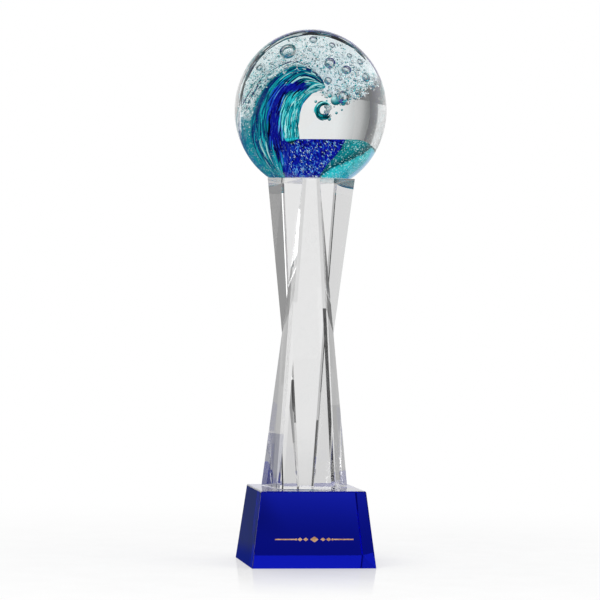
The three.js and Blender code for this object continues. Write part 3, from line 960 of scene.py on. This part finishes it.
def buildThreads(plan, lip):
    dice = np.random.default_rng(seed + 31)
    crowd = Crowd()
    sides, steps = plan["sides"], plan["steps"]
    for _ in range(plan["count"]):
        across = dice.uniform(*plan["across"])
        length = dice.uniform(*plan["length"])
        start = dice.uniform(plan["along"][0], plan["along"][1] - length)
        if across < plan["innerPart"] and start + length > plan["innerEnd"]:
            start = plan["innerEnd"] - length
        side = -1 if dice.uniform() < plan["frontShare"] else 1
        shares = np.linspace(start, start + length, steps)
        drift = across + np.linspace(0, dice.normal(0, plan["lean"]), steps)
        snake = plan["swing"] * np.sin(shares * plan["waves"] + dice.uniform(*plan["phase"]))
        drift = np.clip(drift + snake, *plan["within"])
        middle = shares[steps // 2:steps // 2 + 1]
        colors = plan["backColors"]
        if across < curveThrough(faceTo, middle)[0]:
            colors = plan["faceColors"]
        elif across < curveThrough(curlTo, middle)[0] and middle[0] > plan["curlStart"]:
            colors = plan["curlColors"]
        centres = inBall(bodyPoints(waveBody, shares, drift, side, plan["lift"]))
        crowd.addStrand(centres, dice.uniform(*plan["width"]), pick(dice, colors), sides)
    # Painted highlight: pale lines along the lip
    for _ in range(lip["lines"]):
        start = dice.uniform(*lip["start"])
        shares = np.linspace(start, start + dice.uniform(*lip["length"]), steps)
        drift = curveThrough(faceTo, shares) + dice.normal(*lip["beside"])
        centres = inBall(bodyPoints(waveBody, shares, drift, -1, lip["lift"]))
        crowd.addStrand(centres, dice.uniform(*lip["width"]), pick(dice, lip["colors"]), sides)
    return crowd


threadMaterial = grainMaterial("threadGlass", grainLook)
place(buildThreads(threadPlan, lipHighlightPlan).piece("flowThreads", threadMaterial, True), "cobalt_glass")


# Slivers that catch the light on the two pools
sliverPlan = {
    "along": (0.02, 0.99), "towardsFoot": 0.8, "across": (-0.08, 0.97), "frontShare": 0.65, "lift": 0.004,
    "tilt": 0.35, "width": (0.006, 0.012),
    "pools": [
        {"body": cobaltPoolBody, "count": 620, "length": (0.020, 0.050), "direction": (0.62, -0.78),
         "colors": ["#d8f2fc", "#7fc8f6", "#2c7be6", "#1030b8", "#050a5c", "#0a1a90"]},
        {"body": tealPoolBody, "count": 520, "length": (0.008, 0.018), "direction": (0.6, 0.8),
         "colors": ["#e6fafa", "#9fe4e2", "#38b8bc", "#0a7078", "#043f48", "#055a62"]},
    ],
}


def buildSlivers(plan):
    dice = np.random.default_rng(seed + 47)
    crowd = Crowd()
    turn = towerSizes["turn"]
    for pool in plan["pools"]:
        for _ in range(pool["count"]):
            along = np.array([dice.uniform(*plan["along"]) ** plan["towardsFoot"]])
            across = np.array([dice.uniform(*plan["across"])])
            side = -1 if dice.uniform() < plan["frontShare"] else 1
            centre = inBall(bodyPoints(pool["body"], along, across, side, plan["lift"]))[0]
            dx, dz = pool["direction"]
            tilt = dice.normal(0, plan["tilt"])
            axis = np.array([dx * math.cos(turn), dx * math.sin(turn), dz]) + tilt * np.array([-dz, 0, dx])
            length = dice.uniform(*pool["length"]) * ballRadius
            width = dice.uniform(*plan["width"]) * ballRadius
            color = pick(dice, pool["colors"])
            crowd.addShard(centre, axis, length, width, dice.normal(size=3), color)
    return crowd


sliverMaterial = grainMaterial("sliverGlass", grainLook)
place(buildSlivers(sliverPlan).piece("poolSlivers", sliverMaterial, False), "foam_glass")
print("threads and slivers built")


# Froth fills the glass above and behind the wave. Its lower edge, seen from the front, falls from the lip
# to the right rim and comes down the left side. Each thinning is the share kept at its start and how fast
# that changes.
frothPlan = {
    "rightEdge": [(0.10, 0.36), (0.217, 0.235), (0.41, 0.11), (0.55, 0.136), (0.68, 0.20), (0.78, 0.28),
                  (0.97, 0.36)],
    "lip": 0.1, "crest": 0.42, "foot": -0.75, "besideWave": 0.03, "farthest": 0.965, "field": 0.97,
    "shell": (0.40, 0.66),
    "thinFoot": (1, 1.1), "thinEdge": (0.3, 6), "thinTop": (1.25, -0.9),
}


# Height of the froth's lower edge, right of the lip
def rightEdge(across):
    xs, zs = zip(*frothPlan["rightEdge"])
    return np.interp(across, xs, zs)


# Left of the wave's outer edge
def insideLeft(across, up):
    edges, ups = zip(*reversed(waveBody["outer"][3:]))
    return across < np.interp(up, ups, edges) + frothPlan["besideWave"] and up > frothPlan["foot"]


# True where a seen place belongs to the froth
def inFroth(across, up):
    if math.hypot(across, up) > frothPlan["farthest"]:
        return False
    if across > frothPlan["lip"]:
        return up > rightEdge(across)
    return up > frothPlan["crest"] or (across < 0 and insideLeft(across, up))


def thinnedOut(dice, thinning, distance):
    share, change = thinning
    return dice.uniform() > share + distance * change


def frothPlaces(count, dice):
    nearest, farthest = frothPlan["shell"]
    field = frothPlan["field"]
    places = []
    while len(places) < count:
        across, up = dice.uniform(-field, field, 2)
        if not inFroth(across, up):
            continue
        if up < 0 and thinnedOut(dice, frothPlan["thinFoot"], up):
            continue
        if across > frothPlan["lip"] and thinnedOut(dice, frothPlan["thinEdge"], up - rightEdge(across)):
            continue
        if thinnedOut(dice, frothPlan["thinTop"], up):
            continue
        entry = math.sqrt(1 - math.hypot(across, up) ** 2)
        spot = throughBall(across, up, dice.uniform(-entry, entry), mirror=False)
        if nearest < np.linalg.norm(spot) < farthest:
            places.append((across, up, spot))
    return places


# A cloudy sheet behind the froth, which thins out along the froth's lower edge. It glows with painted light
# that brightens the froth.
veilPlan = {
    "depth": 0.5, "thick": 0.01, "columns": 90, "rows": 40, "halfWidth": 0.94, "crest": (-0.35, 0.36),
    "leftFoot": 0.7, "underTop": 0.02, "colors": ["#dfe9ea", "#fbfdfd"], "colorEdge": (0.35, 0.6),
    "cloudScale": 260.0, "coverEdge": (0.3, 0.6), "cover": (0.80, 0.20), "lowerEdge": (0.3, 0.02, 0.3),
    "rough": 0.6, "glow": 0.28,
}


def veilMaterial(plan):
    nodes = newMaterial("frothCloud")
    cloud = nodes.noise(nodes.objectPlace(), plan["cloudScale"], 4.0, 0.6)
    color = nodes.blend(cloud.rise(*plan["colorEdge"]), *plan["colors"])
    cover = cloud.rise(*plan["coverEdge"]).spread(*plan["cover"])
    cover = cover * border(flowPart(nodes, "X"), cloud, *plan["lowerEdge"])
    # The sheet glows in its own color: painted light
    return nodes.output(nodes.principled(color=color, rough=plan["rough"], specular=0.0, alpha=cover,
                                         glow=color, glowStrength=plan["glow"]))


def buildVeil(plan):
    columns, rows = plan["columns"], plan["rows"]
    across = np.repeat(np.linspace(-plan["halfWidth"], plan["halfWidth"], columns + 1), rows + 1)
    share = np.tile(np.linspace(0, 1, rows + 1), columns + 1)
    top = np.sqrt(frothPlan["farthest"] ** 2 - across ** 2)
    crestStart, crestUp = plan["crest"]
    left = np.where(across > crestStart, crestUp, -plan["leftFoot"] * np.sqrt(1 - across ** 2))
    low = np.where(across > frothPlan["lip"], rightEdge(across), left)
    low = np.minimum(low, top - plan["underTop"])
    up = low + (top - low) * share
    entry = np.sqrt(1 - across ** 2 - up ** 2)
    layers = [seenAt(across, up, entry * plan["depth"] + extra, mirror=False)
              for extra in (0.0, plan["thick"])]
    count, tall = len(across), rows + 1
    faces = []
    for i in range(columns):
        for j in range(rows):
            a = i * tall + j
            quad = (a, a + 1, a + tall + 1, a + tall)
            faces += [quad, tuple(k + count for k in reversed(quad))]
    rim = [i * tall for i in range(columns)] + [columns * tall + j for j in range(rows)]
    rim += [i * tall + rows for i in range(columns, 0, -1)] + list(range(rows, 0, -1))
    faces += [(rim[i - 1], rim[i], rim[i] + count, rim[i - 1] + count) for i in range(len(rim))]
    flow = np.stack([np.where(across > frothPlan["lip"], up - low, 1.0), across, up], -1)
    attributes = {"flow": ("FLOAT_VECTOR", np.concatenate([flow, flow]))}
    return meshPiece("frothVeil", np.concatenate(layers), faces, [veilMaterial(plan)], attributes=attributes)


# White grains, and teal ones round the crest, the lip's drops and the left rim. A teal spot is its middle,
# spread and strength.
grainPlan = {
    "count": 7000, "size": (0.005, 0.017), "sizePower": 2.2, "stretch": (0.9, 1.7),
    "frontDepth": -0.2, "frontShare": 0.3,
    "colors": ["#ffffff", "#ffffff", "#f2f6f7", "#e4eaeb", "#ffffff", "#f8fbfb", "#c4cfd1", "#6d7c80",
               "#58b6b8", "#2b9ba0", "#39464a"],
    "tealColors": ["#0f8d96", "#17a4ab", "#0a6f7a", "#5cc4c6", "#e8f6f6", "#06525c"],
    "tealSpots": [(-0.1, 0.42, 0.12, 1.0), (0.40, 0.22, 0.06, 1.2)], "tealLeft": (-0.7, 0.55),
    "tealShare": (0.10, 0.55),
}


def buildFroth(plan):
    dice = np.random.default_rng(seed + 59)
    crowd = Crowd()
    leftEnd, leftStrength = plan["tealLeft"]
    anywhere, nearTeal = plan["tealShare"]
    for across, up, spot in frothPlaces(plan["count"], dice):
        if spot[1] < plan["frontDepth"] and dice.uniform() > plan["frontShare"]:
            continue
        teal = leftStrength if across < leftEnd else 0
        for x, z, spread, strength in plan["tealSpots"]:
            teal += math.exp(-((across - x) ** 2 + (up - z) ** 2) / spread) * strength
        colors = plan["tealColors"] if dice.uniform() < anywhere + nearTeal * teal else plan["colors"]
        width = sizeFrom(dice, plan["size"], plan["sizePower"])
        axis = dice.normal(size=3)
        length = width * dice.uniform(*plan["stretch"])
        crowd.addShard(inBall(spot), axis, length, width, dice.normal(size=3), pick(dice, colors))
    return crowd


smallBubblePlan = {"count": 420, "size": (0.007, 0.020), "sizePower": 2}


def bubbleMaterial():
    nodes = newMaterial("airBubble")
    normal = nodes.bump(nodes.noise(nodes.objectPlace(), 900.0, 2.0), 0.05, 0.0001)
    sockets = {"Color": "#ffffff", "Roughness": 0.0, "IOR": 1 / glassIndex, "Normal": normal}
    return nodes.output(litThrough(nodes, nodes.add("BsdfGlass", {}, sockets), "#ffffff"))


def buildSmallBubbles(plan):
    dice = np.random.default_rng(seed + 61)
    form = ballForm(2)
    crowd = Crowd()
    for _, _, spot in frothPlaces(plan["count"], dice):
        crowd.addBall(form, inBall(spot), sizeFrom(dice, plan["size"], plan["sizePower"]))
    return crowd


airMaterial = bubbleMaterial()
place(buildVeil(veilPlan), "foam_glass")
place(buildFroth(grainPlan).piece("frothGrains", grainMaterial("frothGlass", frothLook), False), "foam_glass",
      "foam_layer")
place(buildSmallBubbles(smallBubblePlan).piece("smallBubbles", airMaterial, True), "foam_glass")
print("froth built")


# Larger bubbles, kept apart from each other and off the wave, on a shell round the ball's middle
largeBubblePlan = {
    "radii": [0.120, 0.098, 0.084, 0.074, 0.066, 0.06, 0.056, 0.052, 0.048, 0.044, 0.040, 0.038, 0.035,
              0.032, 0.030, 0.028, 0.026, 0.024, 0.022, 0.022, 0.020, 0.020, 0.018, 0.018, 0.016, 0.016,
              0.015, 0.015, 0.014, 0.014],
    "tries": 4000, "field": (-0.8, 0.9), "apart": 1.35, "overWave": (0.15, 0.5), "farthest": 0.93,
    "shell": 0.68, "depthSteps": 120, "stretch": (0.9, 1.1),
}


def buildLargeBubbles(plan):
    dice = np.random.default_rng(seed + 71)
    form = ballForm(4)
    crowd = Crowd()
    taken = []
    waveRight, waveTop = plan["overWave"]
    for radius in plan["radii"]:
        for _ in range(plan["tries"]):
            across, up = dice.uniform(*plan["field"], 2)
            clear = all(math.hypot(across - a, up - u) > (radius + r) * plan["apart"] for a, u, r in taken)
            offWave = up >= waveTop or across >= waveRight
            inside = math.hypot(across, up) < plan["farthest"] - radius
            if clear and offWave and inside and inFroth(across, up):
                break
        taken.append((across, up, radius))
        entry = math.sqrt(1 - across ** 2 - up ** 2)
        spots = throughBall(across, up, np.linspace(-entry, 0, plan["depthSteps"]))
        centre = inBall(spots[np.argmax(np.linalg.norm(spots, axis=1) < plan["shell"])])
        stretch = np.array([1.0, 1.0, dice.uniform(*plan["stretch"])])
        crowd.addBall(form, centre, stretch * radius * ballRadius * lensLimits["shrink"])
    return crowd


place(buildLargeBubbles(largeBubblePlan).piece("largeBubbles", airMaterial, True), "foam_glass")


# A line seen to run round a centre between two turns in degrees, 0 at the right and 90 at the top
def seenArc(centre, turns, reach, depth, steps):
    angles = np.radians(np.linspace(*turns, steps))
    return seenAt(centre[0] + reach * np.cos(angles), centre[1] + reach * np.sin(angles), depth)


# Dark strands close under the ball's upper rim
rimPlan = {
    "strands": 110, "turn": (38, 168), "reach": (0.920, 0.970), "length": (4, 20), "width": (0.007, 0.017),
    "depth": (-0.16, -0.02), "steps": 14, "sides": 5,
    "colors": ["#04262e", "#0a4f5c", "#10161a", "#0b2a5c", "#1c2428", "#0b7480", "#e8f2f2"],
}


def buildRim(plan):
    dice = np.random.default_rng(seed + 97)
    crowd = Crowd()
    for _ in range(plan["strands"]):
        start = dice.uniform(*plan["turn"])
        turns = (start, start + dice.uniform(*plan["length"]))
        reach = dice.uniform(*plan["reach"])
        centres = seenArc((0, 0), turns, reach, dice.uniform(*plan["depth"]), plan["steps"])
        crowd.addStrand(centres, dice.uniform(*plan["width"]), pick(dice, plan["colors"]), plan["sides"])
    return crowd


# Drops thrown off by the lip into the clear glass: a curl of teal threads and beads round it, each bead given
# as its place and radius. Each bead carries painted shade that darkens it towards its back, and a painted
# highlight on its upper left front.
sprayPlan = {
    "depth": -0.30, "curl": (0.15, -0.02), "curlRadius": (0.070, 0.112), "curlTurn": (35, 330), "threads": 46,
    "threadTurn": (50, 170), "lastStart": 60, "uncurl": 0.012, "depthSpread": 0.03, "steps": 16, "sides": 6,
    "threadWidth": (0.005, 0.012),
    "threadColors": ["#064f5c", "#0f8d9a", "#16b3ba", "#03333f", "#9af0ee", "#0a6f7a"],
    "beads": [(0.300, 0.105, 0.060), (0.225, 0.165, 0.026), (0.400, 0.075, 0.034), (0.315, -0.050, 0.018),
              (0.225, -0.130, 0.022), (0.045, 0.090, 0.018), (0.455, 0.130, 0.026), (0.385, -0.010, 0.014)],
    "beadShadeColorHighlight": ["#04424e", "#0f8d9a", "#c8f6f4"], "paintedHighlightFrom": (-0.45, -0.62, 0.64),
}


def buildSpray(plan):
    dice = np.random.default_rng(seed + 83)
    crowd = Crowd()
    first, last = plan["curlTurn"]
    steps, spread = plan["steps"], plan["depthSpread"]
    for _ in range(plan["threads"]):
        start = dice.uniform(first, last - plan["lastStart"])
        turns = (start, min(start + dice.uniform(*plan["threadTurn"]), last))
        reach = dice.uniform(*plan["curlRadius"]) + np.linspace(0, dice.normal(0, plan["uncurl"]), steps)
        centres = seenArc(plan["curl"], turns, reach, plan["depth"] + dice.uniform(-spread, spread), steps)
        width = dice.uniform(*plan["threadWidth"])
        crowd.addStrand(centres, width, pick(dice, plan["threadColors"]), plan["sides"])
    form = ballForm(3)
    # Painted shading: the dark color is painted shade at each bead's back, the light one a painted highlight
    dark, middle, light = [np.array(paint(text)) for text in plan["beadShadeColorHighlight"]]
    paintedHighlight = np.clip(form[0] @ np.array(plan["paintedHighlightFrom"]), 0, 1)[:, None] ** 3
    front = np.clip(-form[0][:, 1], 0, 1)[:, None] ** 0.8
    paintedShading = [tuple(color) for color in (dark + (middle - dark) * front) * (1 - paintedHighlight) + light * paintedHighlight]
    for across, up, radius in plan["beads"]:
        centre = seenAt(across, up, plan["depth"])
        crowd.addBall(form, centre, radius * ballRadius * lensLimits["shrink"], paintedShading)
    return crowd


# A cluster of bubbles inside the curl
sprayBubblePlan = {
    "middle": (0.205, -0.01), "spread": 0.032, "count": 30, "size": (0.008, 0.020), "before": (0.03, 0.10),
}


def buildSprayBubbles(plan):
    dice = np.random.default_rng(seed + 89)
    form = ballForm(3)
    crowd = Crowd()
    for _ in range(plan["count"]):
        across, up = dice.normal(plan["middle"], plan["spread"])
        centre = seenAt(across, up, sprayPlan["depth"] - dice.uniform(*plan["before"]))
        crowd.addBall(form, centre, dice.uniform(*plan["size"]) * ballRadius)
    return crowd


place(buildRim(rimPlan).piece("rimStrands", threadMaterial, True), "teal_glass")
place(buildSpray(sprayPlan).piece("sprayDrops", threadMaterial, True), "teal_glass")
place(buildSprayBubbles(sprayBubblePlan).piece("sprayBubbles", airMaterial, True), "foam_glass")
print("spray built")


# The studio round the object, as glass shows it: a ring of pale and dark cards. Places are degrees round the
# object, 0 straight behind it, 90 on its right. The same kind of list gives the table's far parts, and what
# the outer faces mirror.
surroundLook = {
    "cards": [(-180, 0.02), (-125, 0.02), (-118, 0.35), (-100, 0.65), (-62, 0.85), (-50, 0.80), (-48.5, 0.74),
              (-44, 0.74), (-42.8, 0.32), (-36, 0.22), (-31, 0.19), (-26, 0.30), (-22, 0.46), (-15, 0.62),
              (-11, 0.73), (-5, 0.85), (14, 0.86), (16, 0.98), (22, 0.98), (30, 0.80), (32.5, 0.12),
              (46, 0.14), (50, 0.30), (60, 0.32), (80, 0.45), (105, 0.40), (118, 0.05), (180, 0.02)],
    "table": [(-180, 0.60), (-150, 0.85), (-120, 0.60), (-100, 0.35), (-60, 0.28), (-22, 0.16), (-14, 0.06),
              (-6, 0.06), (-2, 0.34), (2, 0.78), (20, 0.88), (35, 0.84), (60, 0.42), (100, 0.38),
              (150, 0.40), (180, 0.60)],
    # In tableMirrored, the dark blue stops at the back left are a painted blue shadow of the base on the
    # table
    "tableMirrored": [(-180, 0.01), (-95, 0.03), (-50, "#333e7c"), (-4, "#434f92"), (4, 0.5), (20, 0.8),
                      (60, 0.5), (90, 0.03), (180, 0.01)],
    "mirrored": [(-180, 0.01), (-95, 0.03), (-75, 0.30), (-45, 0.75), (8, 1.0), (60, 0.75), (90, 0.05),
                 (180, 0.01)],
}


# Level of the surround in a direction, or at a place on the table
def surroundLevel(nodes, vector, kind):
    sockets = {0: nodes.part(vector, "X"), 1: nodes.part(vector, "Y")}
    turn = nodes.add("Math", {"operation": "ARCTAN2"}, sockets) / (2 * math.pi) + 0.5
    return nodes.ramp(turn, [((degrees + 180) / 360, level) for degrees, level in surroundLook[kind]])


# Which rays ask: the camera's own, those that come by way of glass, and those that an outer face mirrors
def rayKinds(nodes):
    camera, glossy, through = [nodes.ray(kind) for kind in ("Camera", "Glossy", "Transmission")]
    return camera, (glossy + through).clamped() * (1 - camera), glossy * (1 - through)


# Floor: white, with the object's shadow and a pale reflection that fades away from the base. Glass and the
# outer faces see it as emission, with a painted shadow round the base (blue in what the faces mirror) that
# lightens further away.
floorLook = {
    "halfWidth": 4.0, "drop": 0.1 * mm, "shadowShare": 0.5, "shadowReach": 0.45,
    "gloss": 0.26, "glossReach": 0.15, "glossRoughness": 0.08,
    "paper": ["#f6f6f6", "#fafafa"], "paperScale": 40.0,
    "paintedShadowReach": (0.06, 0.26), "nearPaintedShadowLevel": 0.36, "nearPaintedShadowMirrored": "#2233a8",
    "farReach": (0.2, 1.6), "farLevel": 0.84,
}


def buildFloor(look):
    nodes = newMaterial("floor")
    camera, byGlass, byMirror = rayKinds(nodes)
    spot = nodes.objectPlace()
    level = nodes.stretched(spot, (1, 1, 0))
    away = nodes.add("VectorMath", {"operation": "LENGTH"}, {0: level}, output="Value")
    # Painted shadow: the table that glass sees darkens towards the object
    far = nodes.blend(1 - away.rise(*look["farReach"]), surroundLevel(nodes, spot, "table"),
                      grey(look["farLevel"]), "MULTIPLY")
    # Painted shadow round the base, as glass sees the floor: dark close by, lightening to the table further
    # off
    inGlass = nodes.blend(away.rise(*look["paintedShadowReach"]), grey(look["nearPaintedShadowLevel"]), far)
    # Painted blue shadow of the base, as the outer faces mirror the floor
    inMirror = nodes.blend(away.rise(*look["paintedShadowReach"]), look["nearPaintedShadowMirrored"],
                           surroundLevel(nodes, spot, "tableMirrored"))
    forGlass = nodes.light("Emission", nodes.blend(byMirror, inGlass, inMirror))
    grain = nodes.noise(spot, look["paperScale"], 2.0)
    matt = nodes.add("BsdfDiffuse", {}, {"Color": nodes.blend(grain.rise(0.3, 0.7), *look["paper"])})
    gloss = nodes.add("BsdfGlossy", {}, {"Color": "#ffffff", "Roughness": look["glossRoughness"]})
    fade = 1 - away.rise(baseFootHalf, baseFootHalf + look["glossReach"])
    near = 1 - away.rise(baseFootHalf, look["shadowReach"])
    lit = nodes.mixShaders(near * look["shadowShare"], nodes.light("Emission", "#ffffff"), matt)
    glossed = nodes.mixShaders(fade * look["gloss"], lit, gloss)
    shown = nodes.mixShaders(camera, matt, glossed)
    material = nodes.output(nodes.mixShaders(byGlass, shown, forGlass))
    points = [(x * look["halfWidth"], y * look["halfWidth"], -look["drop"]) for x, y in squareCorners]
    return meshPiece("floor", points, [(0, 1, 2, 3)], [material], smooth=False)


buildFloor(floorLook)

# World: white behind the object, even soft light on it, and the ring of cards for what mirrors or bends light
worldLook = {"soft": 0.75, "darkerUp": (0.25, 0.6), "darkerBy": 0.85}


def buildWorld(look):
    world = bpy.data.worlds.new("studio")
    scene.world = world
    nodes = Nodes(world)
    camera, byGlass, byMirror = rayKinds(nodes)
    direction = nodes.add("TexCoord", output="Generated")
    darker = nodes.part(direction, "Z").rise(*look["darkerUp"]) * look["darkerBy"]
    mirrored = nodes.blend(darker, surroundLevel(nodes, direction, "mirrored"), "#000000")
    cards = nodes.blend(byMirror, surroundLevel(nodes, direction, "cards"), mirrored)
    shown = nodes.mixShaders(camera, nodes.light("Background", "#ffffff", look["soft"]),
                             nodes.light("Background", "#ffffff"))
    shown = nodes.mixShaders(byGlass, shown, nodes.light("Background", cards))
    nodes.output(shown, kind="OutputWorld")


buildWorld(worldLook)

# Two large soft lamps, high at the left front and lower at the right. Both aim at the object's middle height.
lampPlan = {
    "key": {"place": (-1.1, -1.3, 1.5), "size": 1.2, "power": 14.0},
    "fill": {"place": (1.5, -0.9, 0.9), "size": 1.4, "power": 7.0},
}
lampAim = Vector((0, 0, 0.14))
for lampName, plan in lampPlan.items():
    lamp = bpy.data.lights.new(lampName, "AREA")
    lamp.shape = "DISK"
    lamp.size = plan["size"]
    lamp.energy = plan["power"]
    holder = bpy.data.objects.new(lampName, lamp)
    holder.visible_glossy = False
    holder.location = plan["place"]
    toObject = lampAim - holder.location
    holder.rotation_euler = toObject.to_track_quat("-Z", "Y").to_euler()
    scene.collection.objects.link(holder)
print("stage, world and lamps built")

# Camera, as the photograph was taken: 1.59 m away, on the object's left, its eye level at the tower's middle
cameraPlan = {
    "distance": 1.594, "lens": 181.8, "sensor": 36.0, "yaw": math.radians(8.82), "pitch": math.radians(0.40),
    "roll": math.radians(0.73), "aimAcross": -4.3 * mm, "aimUp": 138.2 * mm,
}


def buildCamera(plan):
    data = bpy.data.cameras.new("camera")
    data.sensor_width = plan["sensor"]
    data.lens = plan["lens"]
    camera = bpy.data.objects.new("camera", data)
    scene.collection.objects.link(camera)
    yaw, pitch, roll = plan["yaw"], plan["pitch"], plan["roll"]
    right = Vector((math.cos(yaw), -math.sin(yaw), 0))
    level = Vector((math.sin(yaw), math.cos(yaw), 0))
    up = Vector((0, 0, 1))
    forward = level * math.cos(pitch) - up * math.sin(pitch)
    upright = up * math.cos(pitch) + level * math.sin(pitch)
    aim = right * plan["aimAcross"] + up * plan["aimUp"]
    rolledRight = right * math.cos(roll) + upright * math.sin(roll)
    rolledUp = upright * math.cos(roll) - right * math.sin(roll)
    turned = Matrix((rolledRight, rolledUp, -forward)).transposed().to_4x4()
    turned.translation = aim - forward * plan["distance"]
    camera.matrix_world = turned
    scene.camera = camera


buildCamera(cameraPlan)

# Light crosses many faces on its way through the glass
bounces = {"max_bounces": 26, "transmission_bounces": 26, "glossy_bounces": 12, "transparent_max_bounces": 48}
for kind, count in bounces.items():
    setattr(scene.cycles, kind, count)
scene.view_settings.view_transform = "Standard"

print("scene ready")
